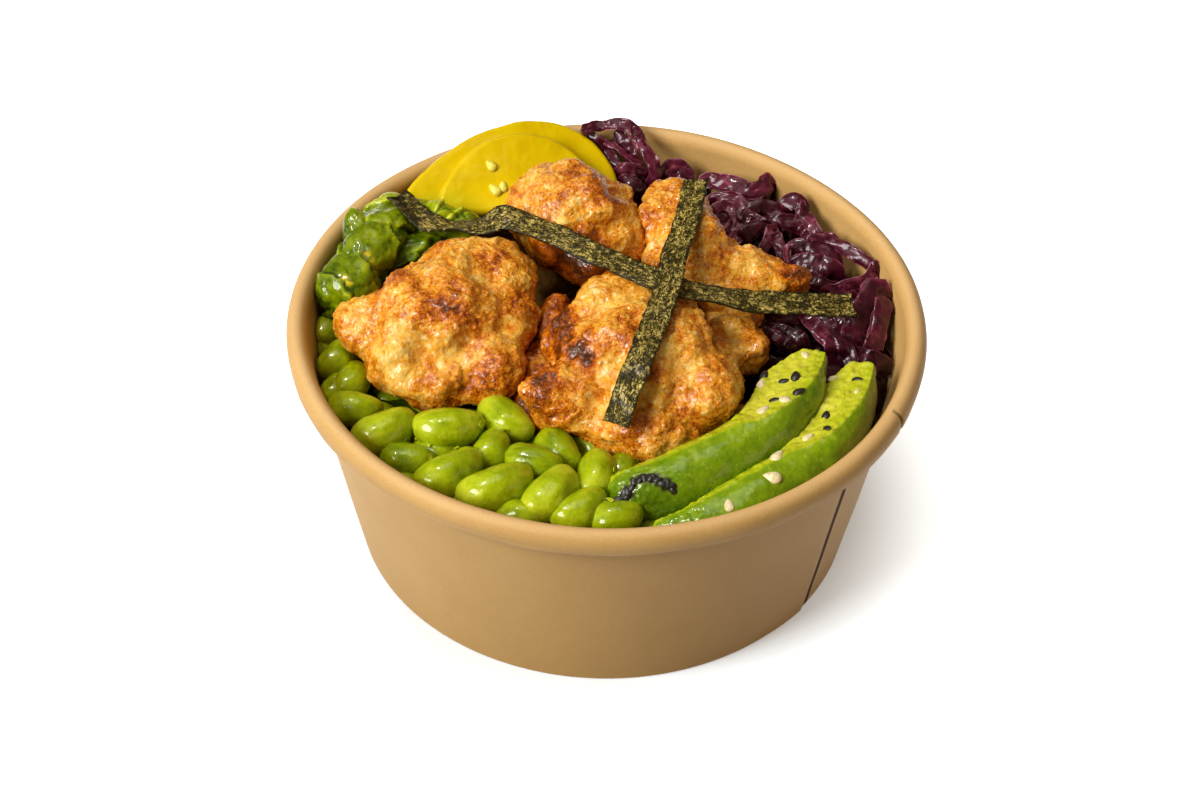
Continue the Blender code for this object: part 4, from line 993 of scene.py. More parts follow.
SLICE_SECTION = (
    (-5, -7.6), (0.5, -8.6), (5, -7.2), (7.4, -3.4), (7.6, 0.8), (6.4, 4), (4.2, 6), (1.8, 7), (-0.8, 7.2),
    (-3.2, 6.4), (-5.4, 4.6), (-7.4, 1.6), (-8.2, -2.8),
)
SLICE_CUT = (0.5, 7.4, 5.0, 0.29)  # from this share on the top is cut: start height, drop, side slope
SLICE_TIP = (0.80, 0.64, (1.8, 2.6))  # from this share on it narrows by this much about this place
FULL_FROM = 0.34  # the share of its length from which the slice is full
NEAR_END, FAR_END = 5.5, 0.7  # the ends are rounded over these lengths
SLICE_STATIONS = 170
SPAN_STEPS = 8
# Each slice: its line, its lean at either end, its size and how full its near end is
AVOCADO = {
    "avocado_inner": (
        ((1, -51.5, 50), (17, -47, 52), (36, -33.5, 54.5), (47.6, -10.5, 58)),
        (22, -4),
        1.0,
        0.66,
    ),
    "avocado_outer": (
        ((11, -61, 48.5), (28, -55.5, 50.5), (48.5, -37.5, 52.5), (59, -12.5, 56.5)),
        (24, -2),
        0.92,
        0.30,
    ),
}
# Charred marks on the slices, as (pixel across, pixel down, radius)
CHAR_MARKS = (
    (636, 481, 1.9), (646, 478, 1.9), (656, 480, 2), (666, 485, 1.9), (672, 489, 1.6), (628, 492, 2.2),
    (621, 500, 2.2), (863, 362, 0.9), (817, 340, 0.9), (785, 352, 0.9),
)


def slice_full(stop, length, near_full):
    """How full the slice is here: slender at the start, and rounded at both ends."""
    full = near_full + (1 - near_full) * math.sin(min(1.0, stop / length / FULL_FROM) * math.pi / 2)
    near, far = min(1.0, stop / (NEAR_END * near_full)), min(1.0, (length - stop) / FAR_END)
    return full * math.sqrt(max(0.02, (1 - (1 - near) ** 2) * (1 - 0.5 * (1 - far) ** 2)))


def slice_section(share, section):
    """The section at this share, cut off at its top and narrowed; and how much was cut off it."""
    cut_from, height, drop, slope = SLICE_CUT
    tip_from, narrowing, about = SLICE_TIP
    level = height - drop * max(0.0, (share - cut_from) / (1 - cut_from)) ** 0.9
    over = section[:, 1] - (level + slope * section[:, 0])
    cut = np.stack([section[:, 0], section[:, 1] - np.maximum(0, over)], axis=1)
    full = 1 - narrowing * max(0.0, (share - tip_from) / (1 - tip_from)) ** 1.6
    return np.array(about) + (cut - np.array(about)) * full, over


def slice_shape(node):
    """The slice's points and faces, and for each point how far it lay over the cut, its place round
    the section and its share of the length."""
    knots, leans, size, near_full = AVOCADO[node]
    places, stops = smooth_line(knots, SLICE_STATIONS)
    section, corner = closed_curve(SLICE_SECTION, SPAN_STEPS)
    length = stops[-1]
    rings, overs = [], []
    for place, way, stop in zip(places, headings(places), stops):
        side = unit(np.cross(way, (0, 0, 1)))
        cut, over = slice_section(stop / length, section)
        lean = math.radians(leans[0] + (leans[1] - leans[0]) * stop / length)
        leaning = np.array([(math.cos(lean), math.sin(lean)), (-math.sin(lean), math.cos(lean))])
        turned = cut * size * slice_full(stop, length, near_full) @ leaning
        rings.append(place + turned[:, :1] * side + turned[:, 1:] * np.cross(side, way))
        overs.append(over)
    corners = tube_values(np.tile(corner, SLICE_STATIONS), 0.0, 8.0)
    shares = tube_values(np.repeat(stops / length, len(section)), 0.0, 1.0)
    faces = tube_faces(SLICE_STATIONS, len(section))
    return tube_points(rings), faces, tube_values(overs, -9.0), corners, shares


def slice_relief(points, cut, near_end, seed):
    """How far the flesh stands out: dents on its outside and pits in its cut face."""
    dents = 0.34 * noise(points, 7.0, seed) * (1 - 0.5 * cut) + 0.10 * noise(points, 2.6, seed + 1)
    dents += (0.16 + 0.22 * near_end) * noise(points, 1.1, seed + 3) * near_end
    dents += 0.05 * noise(points, 1.2, seed + 5)
    pits = 0.24 * noise(points, 1.8, seed + 2) + 0.12 * noise(points, 0.8, seed + 4)
    return dents + cut * (pits - 0.10) - 0.08


def slice_marks(points, over, corners, shares, cut, near_end, seed):
    """How ripe the flesh is at each point, and how bruised."""
    top, low = smoothstep(corners, 4.2, 8.2), smoothstep(corners, 4.6, 3.0)
    streak = noise(points, 1.3, seed + 6) + 0.6 * noise(points, 4.0, seed + 7)
    ripe = 0.30 + (0.08 + 0.16 * smoothstep(shares, 0.35, 0.6)) * top - 0.16 * low
    ripe += 0.32 * cut + 0.06 * streak - 0.12 * near_end * (1 - top)
    crack = smoothstep(-np.abs(noise(points, 1.9, seed + 8)), -0.045, 0.0)
    crack = crack * smoothstep(noise(points, 4.0, seed + 9), 0.10, 0.35)
    edge = smoothstep(np.abs(over), 0.45, 0.0) * smoothstep(noise(points, 1.5, seed + 10), 0.05, 0.35)
    return {"ripe": ripe, "bruise": np.clip(0.9 * crack * cut + 0.55 * edge * (shares > 0.6), 0, 1)}


def make_slice(node):
    """A wedge of peeled avocado whose far end is cut flat, with dents along its length."""
    points, faces, over, corners, shares = slice_shape(node)
    obj = new_object(node.replace("avocado", "slice"), points, faces)
    seed = len(node)
    cut, near_end = smoothstep(over, -0.25, 0.10), smoothstep(shares, 0.28, 0.06)
    height = slice_relief(points, cut, near_end, seed)
    points = pressed_in(points + vertex_values(obj, "normal") * height[:, None], 0.45)
    move_vertices(obj, points)
    painted(obj, **slice_marks(points, over, corners, shares, cut, near_end, seed))
    ragged = points + 0.6 * unit_noise(points, 1.0, seed + 70)
    return painted(obj, char=marks(tree_of(obj), ragged, CHAR_MARKS, 0.5))


# ---------------------------------------------------------------- sesame


# Seeds, as (pixel across, pixel down, heading, size)
BLACK_SEEDS = (
    (764, 375, 20, 1), (784, 381, 80, 1), (796, 376, 100, 1.15), (799, 391, 30, 1.1), (775, 400, 60, 1.05),
    (857, 379, 70, 1), (826, 415, 15, 1.1), (827, 428, 110, 0.95), (634, 483, 60, 0.83),
    (639, 479, 20, 0.83), (644, 477, 100, 0.82), (649, 477, 0, 0.86), (654, 478, 70, 0.82),
    (658, 480, 150, 0.83), (663, 484, 30, 0.82), (668, 484, 90, 0.83), (672, 486, 10, 0.83),
    (673, 490, 60, 0.78), (631, 489, 100, 0.83), (627, 491, 30, 0.86), (624, 496, 80, 1.04),
    (620, 500, 10, 1.02), (628, 497, 140, 0.78),
)
WHITE_SEEDS = (
    (761, 384, 30, 1.15), (763, 410, 10, 1.35), (787, 400, 25, 1.3), (806, 355, 40, 1),
    (833, 378, 10, 0.95), (857, 391, 20, 0.6), (808, 437, 20, 1), (777, 456, 30, 1.35), (772, 477, 5, 1.45),
    (729, 505, 60, 1.1),
)
PICKLE_SEEDS = ((491, 166, 120, 1.15), (495, 190, 130, 1.25), (503, 187, 80, 1.0))
SESAME = (1.5, 1.0, 0.66)  # half length, half width, half height
SEED_TAPER = 0.34


def lay_seeds(name, spots, tree, seed):
    """Sesame seeds, drop-shaped and a little sunk into what they lie on."""
    heap = Heap()
    directions, faces = sphere_grid(3)
    random = np.random.default_rng(seed)
    narrow = 1 - SEED_TAPER * directions[:, :1]
    drop = directions * np.concatenate([np.ones_like(narrow), narrow, narrow], axis=1)
    for spot, normal, (heading, scale) in seen(tree, spots):
        shaped = drop * np.array(SESAME) * scale * random.uniform(0.95, 1.05)
        shaped[:, 2] += 0.05 * noise(shaped, 0.8, seed)
        heap.add(laid_on(shaped, spot, normal, math.radians(heading), 0.2 * scale), faces)
    return heap.finish(name)


# ---------------------------------------------------------------- beans


BEAN = (7.6, 5.0, 4.7)  # half length, half width, half height
# The beans that show, as (pixel across, pixel down, height, slant in the picture, length)
BEANS = (
    (329, 329, 50, 60, 11), (339, 358, 50.5, 55, 13), (352, 381, 50, 70, 11.5), (336, 391, 48.5, 60, 10.5),
    (355, 409, 51, -8, 13.2), (385, 431, 52, 25, 16.4), (448, 428, 52.5, 4, 16.4),
    (505, 420, 51, -34, 15.5), (408, 461, 50, -10, 13.6), (450, 474, 52.5, 28, 17.6),
    (491, 450, 51.5, 62, 12), (533, 463, 52, -12, 13.6), (558, 450, 50, -50, 14),
    (497, 488, 52.5, 20, 18.6), (552, 494, 52, 46, 17), (596, 475, 51, 80, 14.5), (622, 470, 49, 60, 11.5),
    (581, 510, 51, 33, 14.5), (616, 518, 50.5, 8, 13), (521, 516, 50, -6, 12), (437, 453, 48, -15, 12.5),
    (590, 447, 47, -30, 12), (470, 500, 48.5, 20, 12), (371, 452, 48, 20, 12), (413, 491, 47.5, -20, 12),
    (322, 345, 47, 70, 11), (645, 492, 46.5, 10, 11),
)
LOWER_BEANS, TRIES = 14, 4000
FINE_BEANS = 20  # the first of the list, which lie on top, have the finer mesh
BEAN_SPACING = 8.4
BEAN_CORE = (172, 287, 33.0, 38.0, 45.5, 60)  # its angles, inner radius, foot, top and stations
FORESHORTENING = 0.676  # how much shorter a level length towards the viewer looks
# Scraps of bean skin and of leaf, as (pixel across, pixel down, length)
SKIN_SCRAPS = (
    (481, 424, 2.4), (431, 459, 2.2), (429, 445, 1.4), (457, 449, 1.6), (610, 501, 2), (417, 440, 1.2),
    (504, 431, 1), (613, 470, 1.4),
)
LEAF_SCRAPS = ((663, 463, 3.2), (657, 469, 1.6))
SCRAP_TURN = 1.3  # each scrap is turned by this much more than the one before it, in radians


def placed_beans():
    """The listed beans as (x, y, z, heading, size), and others drawn at random in the gaps below."""
    random = np.random.default_rng(7)
    beans = []
    for across, down, height, slant, length in BEANS:
        slant = math.radians(slant)
        heading = math.degrees(math.atan2(math.sin(slant) / FORESHORTENING, math.cos(slant)))
        beans.append((*place_at(across, down, height), heading, length / (2 * BEAN[0])))
    for _ in range(TRIES):
        if len(beans) == len(BEANS) + LOWER_BEANS:
            break
        angle = math.radians(random.uniform(178, 282))
        reach = random.uniform(34, 62)
        spot = np.array((reach * math.cos(angle), reach * math.sin(angle), random.uniform(43.0, 46.0)))
        if min(np.linalg.norm(spot - bean[:3]) for bean in beans) > BEAN_SPACING:
            beans.append((*spot, random.uniform(0, 180), random.uniform(0.80, 0.95)))
    return beans


def bean_shape(place, directions, seed):
    """One bean: an egg, bent to one side, with a shallow dent where it was held in its pod."""
    x, y, z, heading, size = place
    narrow = np.array((1.0, size**-0.35, size**-0.35))
    along, across, up = (directions * np.array(BEAN) * narrow * size).T
    blunt = 1 + 0.10 * np.abs(directions[:, 0]) ** 3
    across = across * blunt * (1 - 0.09 * along / (BEAN[0] * size)) + 0.028 * along**2 / size - 0.6 * size
    across += 0.5 * size * ridge(along, 2.6 * size) * ridge(across + 5.0 * size, 2.4)
    shaped = np.stack([along, across, up * blunt], axis=1)
    lumpy = 0.24 * noise(shaped, 5.2, seed) + 0.07 * noise(shaped, 2.0, seed + 1)
    return (shaped + directions * lumpy[:, None]) @ turn(heading).T + np.array((x, y, z))


def make_beans():
    """The heap of beans, which covers its own core."""
    heap = Heap()
    fine, coarse = sphere_grid(5), sphere_grid(4)
    random = np.random.default_rng(9)
    for number, place in enumerate(placed_beans()):
        directions, faces = fine if number < FINE_BEANS else coarse
        points = bean_shape(place, directions, 100 + number)
        local = (points - np.array(place[:3])) @ turn(place[3])
        streak = 0.10 * noise(local * (0.18, 1.0, 1.0), 1.1, 400 + number)
        # Each bean darker on its underside: painted shade.
        low = smoothstep(points[:, 2] - place[2], 0.5, -2.6)
        tint = random.uniform(0.38, 0.60) + streak + 0.03 * np.abs(local[:, 0]) - 0.22 * low
        heap.add(pressed_in(points, 0.4), faces, tint=tint)
    points, faces = heap_core(*BEAN_CORE)
    # The core, seen only between the beans, takes the darkest tint as painted shade.
    heap.add(points + 0.8 * unit_noise(points, 4.0, 3), faces, tint=-0.2)
    return heap.finish("beans")


def make_scraps(name, spots, tree):
    """Small curled scraps of skin or leaf on what lies below."""
    heap = Heap()
    directions, faces = sphere_grid(4)
    for number, (spot, normal, (length,)) in enumerate(seen(tree, spots)):
        shaped = directions * np.array((length, 0.55 * length, 0.28)) * 0.6
        shaped[:, 2] += 0.22 * shaped[:, 0] ** 2 / length
        shaped += 0.22 * unit_noise(shaped, 1.0, 30 + number)
        heap.add(laid_on(shaped, spot, normal, number * SCRAP_TURN, 0.3), faces, tint=0.8, crest=0.12)
    return heap.finish(name)


# ---------------------------------------------------------------- greens


# The rolled leaves: middle, (yaw, pitch, roll), radii, how yellow-green, and how the wraps run
LEAVES = (
    ((-61.6, 11.6, 56.6), (72, 0, 0), (8.6, 7.2, 7.4), 0.00, 0.9),
    ((-57.0, 21.6, 59.4), (60, 6, 0), (10.2, 6.2, 6.4), 0.06, 0.5),
    ((-54.4, 29.6, 59.8), (60, 0, 0), (7.8, 5.6, 5.6), 0.10, -0.4),
    ((-61.4, 27.6, 59.4), (112, 0, 0), (7.4, 3.4, 6.2), -0.04, 0.5),
    ((-45.5, 26.0, 55.0), (20, 0, 0), (10.0, 6.0, 5.8), -0.14, 0.2),
    ((-54.6, 37.0, 59.6), (50, 0, 0), (6.4, 3.8, 3.8), 0.24, -0.6),
    ((-41.4, 32.4, 60.9), (10, 0, 0), (4.8, 3.9, 4.7), 0.28, 0.7),
    ((-47.4, 34.4, 60.2), (60, 0, 0), (4.8, 3.3, 3.9), 0.20, -0.5),
    ((-36.2, 31.4, 60.4), (0, 0, 0), (4.2, 3.6, 3.9), 0.22, 0.4),
)
# Yellowed and browned spots, as (pixel across, pixel down, radius)
YELLOW_SPOTS = (
    (367, 254, 1.3), (372, 262, 0.8), (350, 283, 0.9), (343, 278, 1), (381, 222, 0.7), (409, 205, 0.7),
)
BROWN_SPOTS = ((333, 277, 0.9), (347, 291, 0.9), (336, 271, 0.5), (424, 195, 0.5), (392, 236, 0.5))
GREENS_CORE = (130, 171, 40.0, 38.5, 50.0, 40)
SQUARENESS = 2.6  # the rolls are a little squarer than an ellipsoid, whose power is 2


def leaf_roll(leaf, directions, seed):
    """One rolled leaf: a swollen roll wrapped in creased leaves whose thin edges run around it."""
    middle, angles, radii, bright, run = leaf
    radii = np.array(radii)
    square = np.sum(np.abs(directions) ** SQUARENESS, axis=1)[:, None] ** (-1 / SQUARENESS)
    local = directions * radii * square
    spun = np.arctan2(local[:, 2] / radii[2], local[:, 1] / radii[1]) / (2 * math.pi)
    waver = 0.12 * noise(local, 5.0, seed) + 0.04 * noise(local, 1.8, seed + 1)
    wrap = (2 * spun + run * local[:, 0] / radii[0] + waver + seed * 0.37) % 1.0
    step = wrap**1.5 * smoothstep(wrap, 1.0, 0.95)
    crease, lip = ridge(np.minimum(wrap, 1 - wrap), 0.040), ridge(wrap - 0.92, 0.030)
    bent = local * (0.55, 1.0, 1.0) + 0.8 * unit_noise(local, 4.0, seed + 5)
    fold, fine_fold = ridge(noise(bent, 4.2, seed + 6), 0.07), ridge(noise(bent, 2.0, seed + 7), 0.09)
    height = 0.55 * noise(local, 6.0, seed + 2) + 0.22 * noise(bent, 2.2, seed + 3)
    height += 0.80 * step - 0.30 * crease + 0.16 * lip - 0.32 * fold - 0.10 * fine_fold
    points = (local + directions * height[:, None]) @ turn(*angles).T + np.array(middle)
    # Darker in the creases and folds as painted shade, lighter at each leaf's lip as painted highlight.
    tone = 0.44 + bright - 0.30 * crease + 0.24 * lip + 0.18 * (wrap - 0.5)
    tone += 0.16 * noise(local * (0.35, 1.0, 1.0), 1.6, seed + 4)
    return points, tone - 0.20 * fold - 0.06 * fine_fold


def make_greens(strips):
    """The heap of cooked leaves: swollen wet rolls over a core."""
    heap = Heap()
    directions, faces = sphere_grid(5)
    for number, leaf in enumerate(LEAVES):
        points, tone = leaf_roll(leaf, directions, 200 + 11 * number)
        points = pressed_in(lowered(points, strips, 0.1, 0.5), 0.4)
        # Each roll lighter towards its top: painted light.
        light = 0.26 * smoothstep(points[:, 2] - leaf[0][2], -4.0, 5.5)
        heap.add(points, faces, crest=tone + light - 0.23)
    points, faces = heap_core(*GREENS_CORE)
    # The core, seen only between the rolls, is dark: painted shade.
    heap.add(points + 0.8 * unit_noise(points, 4.0, 3), faces, crest=0.1)
    obj = heap.finish("folded_leaves")
    tree, points = tree_of(obj), places_of(obj)
    ragged = points + 0.6 * unit_noise(points, 1.2, 220)
    yellow, brown = (0.85 * marks(tree, ragged, spots) for spots in (YELLOW_SPOTS, BROWN_SPOTS))
    return painted(obj, yellow=yellow, brown=brown)


# ---------------------------------------------------------------- red cabbage


SHRED_THICKNESS = 0.9
SHRED_ROOT = 46.0  # a shred's end that lies below the next height runs down to this one
SHRED_FREE = 62.0
SHRED_STATIONS, FILLING_STATIONS = 60, 22
SECTION_POINTS = 22
FACING = unit(np.array((0.0, -0.74, 0.67)))  # the shreds lie with their faces turned to the front and up
# Each shred: its width at either end, its turn about its line at either end in degrees, how pale it
# is, and where it runs through, as (pixel across, pixel down, height)
SHREDS = (
    (3, 3.2, 10, 20, 0.1, (581, 131, 64), (600, 125, 64.5), (620, 124, 65), (634, 130, 64.5),
     (643, 146, 62.5)),
    (3, 3.4, 20, -20, 0.22, (632, 127, 65), (641, 144, 63), (651, 158, 60.5), (655, 172, 57.5),
     (650, 188, 53)),
    (2, 1.6, 30, 30, 0.3, (586, 134, 62), (602, 138, 61.5), (618, 149, 60), (634, 160, 57.5),
     (643, 168, 55)),
    (5, 4.5, -10, -25, 0.02, (592, 142, 60), (603, 152, 58.5), (612, 166, 56.5), (622, 180, 54)),
    (4.5, 4, -20, -30, 0.06, (615, 132, 62), (626, 145, 60), (632, 160, 57), (636, 176, 53.5)),
    (3.4, 3, 15, -15, 0.26, (620, 172, 56.5), (634, 170, 57), (648, 174, 55.5), (652, 182, 53)),
    (4, 4, 0, 20, 0.04, (624, 184, 54.5), (634, 186, 55), (642, 194, 52.5)),
    (4.4, 4, -30, 20, 0.16, (664, 178, 55), (668, 168, 57), (678, 166, 57.5), (686, 174, 56),
     (686, 184, 53.5)),
    (3.4, 3.2, 10, 10, 0.06, (668, 182, 54), (676, 174, 56), (684, 182, 54)),
    (3.8, 5, 10, -10, 0.24, (705, 181, 55.5), (718, 181, 57), (734, 185, 57.5), (750, 191, 57.5),
     (762, 188, 57.5), (769, 183, 57)),
    (2.6, 2.2, 50, 40, 0.05, (704, 186, 54.5), (722, 190, 55.5), (740, 198, 55.5), (756, 201, 55.5),
     (767, 193, 56)),
    (3.6, 3.6, 20, -30, 0.24, (712, 203, 55), (722, 199, 56.5), (735, 200, 57), (743, 211, 56.5),
     (742, 228, 55), (733, 243, 52.5)),
    (3, 3, 10, -20, 0.34, (714, 214, 54.5), (723, 207, 55.5), (732, 211, 55.5), (734, 223, 54.5),
     (728, 237, 52.5)),
    (3, 2.8, 0, 0, 0.2, (716, 226, 53.5), (722, 217, 54.5), (727, 224, 54), (724, 236, 52.5)),
    (5, 4.4, -20, 20, 0.02, (744, 228, 54), (750, 215, 56), (761, 208, 57), (772, 212, 56.5),
     (778, 224, 54.5)),
    (4.6, 4, 20, -20, 0.08, (742, 240, 53), (752, 230, 55), (763, 226, 55.5), (772, 234, 54),
     (770, 248, 52)),
    (4.2, 4, 0, -30, 0.1, (746, 220, 55), (758, 222, 56), (768, 228, 55), (774, 240, 53)),
    (4.6, 4, 30, 0, 0.04, (782, 214, 56), (788, 203, 59), (798, 202, 59.5), (803, 214, 58), (800, 226, 55)),
    (3, 3.4, -15, 15, 0.2, (799, 203, 59), (804, 214, 58), (812, 226, 57), (821, 237, 56.5),
     (832, 243, 56.5)),
    (4.4, 4, 20, -10, 0.06, (776, 226, 55), (788, 222, 56.5), (800, 226, 56), (810, 236, 55)),
    (3.2, 2.8, -10, 20, 0.26, (773, 230, 55.5), (768, 240, 55), (763, 250, 53.5), (757, 259, 51)),
    (3.6, 3, 10, -10, 0.14, (775, 238, 55), (780, 248, 54.5), (784, 258, 53.5), (785, 268, 51)),
    (2.2, 2, 0, 20, 0.34, (788, 268, 52.5), (787, 255, 54.5), (790, 245, 56), (802, 243, 56.5),
     (815, 241, 57)),
    (3, 3.6, 10, -20, 0.1, (808, 241, 57), (824, 240, 57.5), (840, 246, 57.5), (856, 256, 57.5),
     (870, 264, 57), (876, 270, 56)),
    (4, 3.2, 30, 10, 0.26, (876, 268, 56), (866, 280, 54.5), (850, 285, 54), (836, 290, 53),
     (826, 293, 51.5)),
    (6, 5, -10, 10, 0.03, (796, 252, 54.5), (808, 250, 55.5), (822, 254, 55.5), (832, 262, 54.5),
     (830, 274, 52.5)),
    (5, 5, 20, -20, 0.05, (794, 268, 52.5), (806, 264, 54), (820, 266, 54.5), (834, 272, 53.5)),
    (4, 4, 0, 30, 0.08, (806, 278, 51.5), (818, 282, 52.5), (830, 286, 52), (842, 290, 51)),
    (7, 8.6, 15, 0, 0.1, (876, 292, 57), (869, 306, 56.5), (862, 322, 54.5), (856, 340, 52)),
    (5, 5, 25, 10, 0.14, (884, 296, 56), (882, 314, 55.5), (877, 334, 53.5), (872, 352, 51)),
    (5, 5.4, 0, -20, 0.07, (850, 300, 54.5), (846, 316, 54), (842, 332, 52.5), (846, 346, 50.5)),
    (3.4, 3.6, 0, 15, 0.26, (803, 312, 52.5), (811, 322, 53), (821, 333, 52.5), (832, 345, 51)),
    (4.4, 4, 20, 0, 0.04, (818, 312, 53), (828, 322, 53.5), (838, 334, 52.5), (846, 348, 50.5)),
    (4, 3.6, 10, 20, 0.14, (756, 332, 50.5), (768, 334, 51), (781, 340, 51), (793, 347, 50)),
    (3.4, 3, 20, 10, 0.02, (758, 324, 50.5), (774, 326, 51.5), (790, 332, 51.5), (804, 342, 50.5)),
    (2.8, 2.4, 10, 0, 0.22, (760, 327, 50.5), (776, 322, 51.5), (792, 319, 52), (804, 318, 51.5)),
)
FILLING_SHREDS = 60
CABBAGE_CORE = (-6, 97, 34.0, 38.0, 47.5, 60)


def shred_frames(widths, turns, line, stations):
    """Places along a shred, the directions of its width and its thickness, and its widths."""
    first, last = ([(*end[:2], SHRED_ROOT)] if end[2] < SHRED_FREE else [] for end in (line[0], line[-1]))
    places, stops = smooth_line([*first, *line, *last], stations)
    ways = headings(places)
    share = (stops / stops[-1])[:, None]
    out = unit(FACING - ways * (ways @ FACING)[:, None])
    beside = np.cross(out, ways)
    angle = np.radians(turns[0] + (turns[1] - turns[0]) * share)
    out, beside = out * np.cos(angle) + beside * np.sin(angle), beside * np.cos(angle) - out * np.sin(angle)
    return places, beside, out, stops, widths[0] + (widths[1] - widths[0]) * share[:, 0]


def ribbon_section():
    """A flat rounded outline as places across the thickness and along the width, from -0.5 to 0.5."""
    angles = 2 * math.pi * np.arange(SECTION_POINTS) / SECTION_POINTS
    through = np.sign(np.cos(angles)) * np.abs(np.cos(angles)) ** 0.55
    beside = np.sign(np.sin(angles)) * np.abs(np.sin(angles)) ** 0.75
    return through / 2, beside / 2


def shred_outline(section, stop, share, wide, cup, thick, seed):
    """The shred's section at this stop, out from its middle and along its width, and how pale it is."""
    through, beside = section
    outer = (beside * 2) ** 2
    along = beside * wide * min(1.0, 0.35 + min(share, 1 - share) * 14)
    wave = 0.45 * math.sin(stop * 0.7 + seed) * outer
    wave += 0.40 * math.sin(stop * 1.7 + 2 * seed) * beside * outer
    ribs = 0.13 * np.sin(beside * (4.6 * wide) + seed + 0.6 * math.sin(stop * 0.5))
    out = through * thick * (1 - 0.45 * outer**2) + ribs * np.sign(through)
    out += cup * wide / 4 * (outer - 0.4) + wave
    vein = ridge(beside - 0.12 * math.sin(stop * 0.4 + seed), 0.07)
    return out[:, None], along[:, None], 0.8 * np.abs(beside * 2) ** 9 + 0.35 * vein + 0.2 * (through < 0)


def shred_mesh(widths, turns, line, random, seed, stations):
    """A curled ribbon of leaf with a cupped section, wavy edges and lengthwise ribs."""
    places, edges, sides, stops, full = shred_frames(widths, turns, line, stations)
    section = ribbon_section()
    cup = random.choice((-1, 1)) * random.uniform(0.05, 0.35)
    thick = SHRED_THICKNESS * random.uniform(0.55, 0.95)
    rings, pale = [], []
    for place, edge, side, stop, wide in zip(places, edges, sides, stops, full):
        out, along, pale_here = shred_outline(section, stop, stop / stops[-1], wide, cup, thick, seed)
        rings.append(place + side * out + edge * along)
        pale.append(pale_here)
    points = tube_points(rings)
    points += 0.18 * unit_noise(points, 2.2, seed) + 0.30 * unit_noise(points, 5.0, seed + 3)
    crinkle = ridge(noise(points, 2.8, seed + 9), 0.08)
    lift = tube_points(np.repeat(sides[:, None, :], SECTION_POINTS, axis=1))
    points += lift * (0.34 * crinkle + 0.22 * noise(points, 3.2, seed + 11))[:, None]
    along = tube_values(np.repeat(stops, SECTION_POINTS), 0.0, stops[-1])
    across = tube_values(section[1] * full[:, None]) + 7 * seed
    # Besides the pale cut edges and veins, the paleness has a painted highlight along the crinkles' ridges.
    return points, tube_faces(stations, SECTION_POINTS), tube_values(pale) + 0.30 * crinkle, along, across


def filling_shreds(random):
    """Shreds that fill the heap between the named ones, drawn at random."""
    for _ in range(FILLING_SHREDS):
        angle = math.radians(random.uniform(-2, 94))
        reach = random.uniform(42, 63)
        middle = np.array((reach * math.cos(angle), reach * math.sin(angle), random.uniform(47.5, 51.5)))
        heading = random.uniform(0, 2 * math.pi)
        way = np.array((math.cos(heading), math.sin(heading), 0.0))
        bow = np.array((-way[1], way[0], 0.0)) * random.uniform(-3.5, 3.5)
        half = random.uniform(4.5, 7.5)
        drop = random.uniform(1.0, 3.0)
        line = (middle - way * half - (0, 0, drop), middle + bow, middle + way * half - (0, 0, drop))
        lean = random.uniform(-45, 45)
        widths = np.array((1.0, random.uniform(0.8, 1.1))) * random.uniform(3.2, 5.6)
        yield widths, (lean, lean + random.uniform(-30, 30)), line


def make_cabbage():
    """The heap of shreds over a core, darker low down and in the core as painted shade."""
    heap = Heap()
    random = np.random.default_rng(21)
    shreds = []
    for first, last, start, end, pale, *line in SHREDS:
        shreds.append(((first, last), (start, end), [place_at(*spot) for spot in line], pale, SHRED_STATIONS))
    for widths, turns, line in list(filling_shreds(random)):
        shreds.append((widths, turns, line, random.uniform(-0.06, 0.10), FILLING_STATIONS))
    for number, (widths, turns, line, pale, stations) in enumerate(shreds):
        points, faces, edge, along, across = shred_mesh(widths, turns, line, random, number, stations)
        # Shreds lower down, and the filling ones, are darker: painted shade.
        deep = smoothstep(points[:, 2], 55.0, 48.0) + 0.5 * (number >= len(SHREDS))
        tone = 0.16 + pale + 0.48 * edge + 0.14 * noise(points, 3.0, 300 + number) - 0.16 * deep
        heap.add(pressed_in(points, 0.3), faces, pale=np.clip(tone, 0, 1), along=along, across=across)
    points, faces = heap_core(*CABBAGE_CORE)
    rough = points + unit_noise(points, 3.0, 5)
    # The core, seen only between the shreds, is nearly black: painted shade.
    heap.add(rough, faces, pale=0.10, along=points[:, 0], across=points[:, 1])
    return heap.finish("cabbage_shreds")


# ---------------------------------------------------------------- pickled radish


PICKLE_THICKNESS = 3.2
PICKLE_YAW = 22.5
PICKLE_SLOPE = 27.3
PICKLE_MIDDLE = (-23.3, 41.3, 53.1)  # on the back slice's mid plane
PICKLE_ARC = (-8.0, 158.0)  # the part of the round outline that is left, in degrees
# Each slice: its layer, its outline's middle, its half width to either side, its rise and its lean
PICKLE = {
    "pickle_back": (0, (0.0, 0.0), 35.0, 28.5, 27.0, 0.30),
    "pickle_front": (1, (1.0, -3.0), 23.0, 23.0, 25.5, 0.10),
}
PICKLE_SPOKES = 200
PICKLE_RINGS = 44
PICKLE_EDGE = 1.3  # how far in from its rim and its cut edge a slice is rounded
LEAFY_SPOT = (440, 214, 9.0)  # where the greens colour the radish, as (pixel across, pixel down, radius)


def pickle_outline(node):
    """The slice's half-round outline in its own plane, as (x, y)."""
    _, middle, left, right, rise, skew = PICKLE[node]
    angles = np.radians(np.linspace(*PICKLE_ARC, PICKLE_SPOKES))
    up = rise * np.sin(angles)
    width = np.where(np.cos(angles) > 0, right, left)
    return np.stack([middle[0] + width * np.cos(angles) + skew * up, middle[1] + up], axis=1)


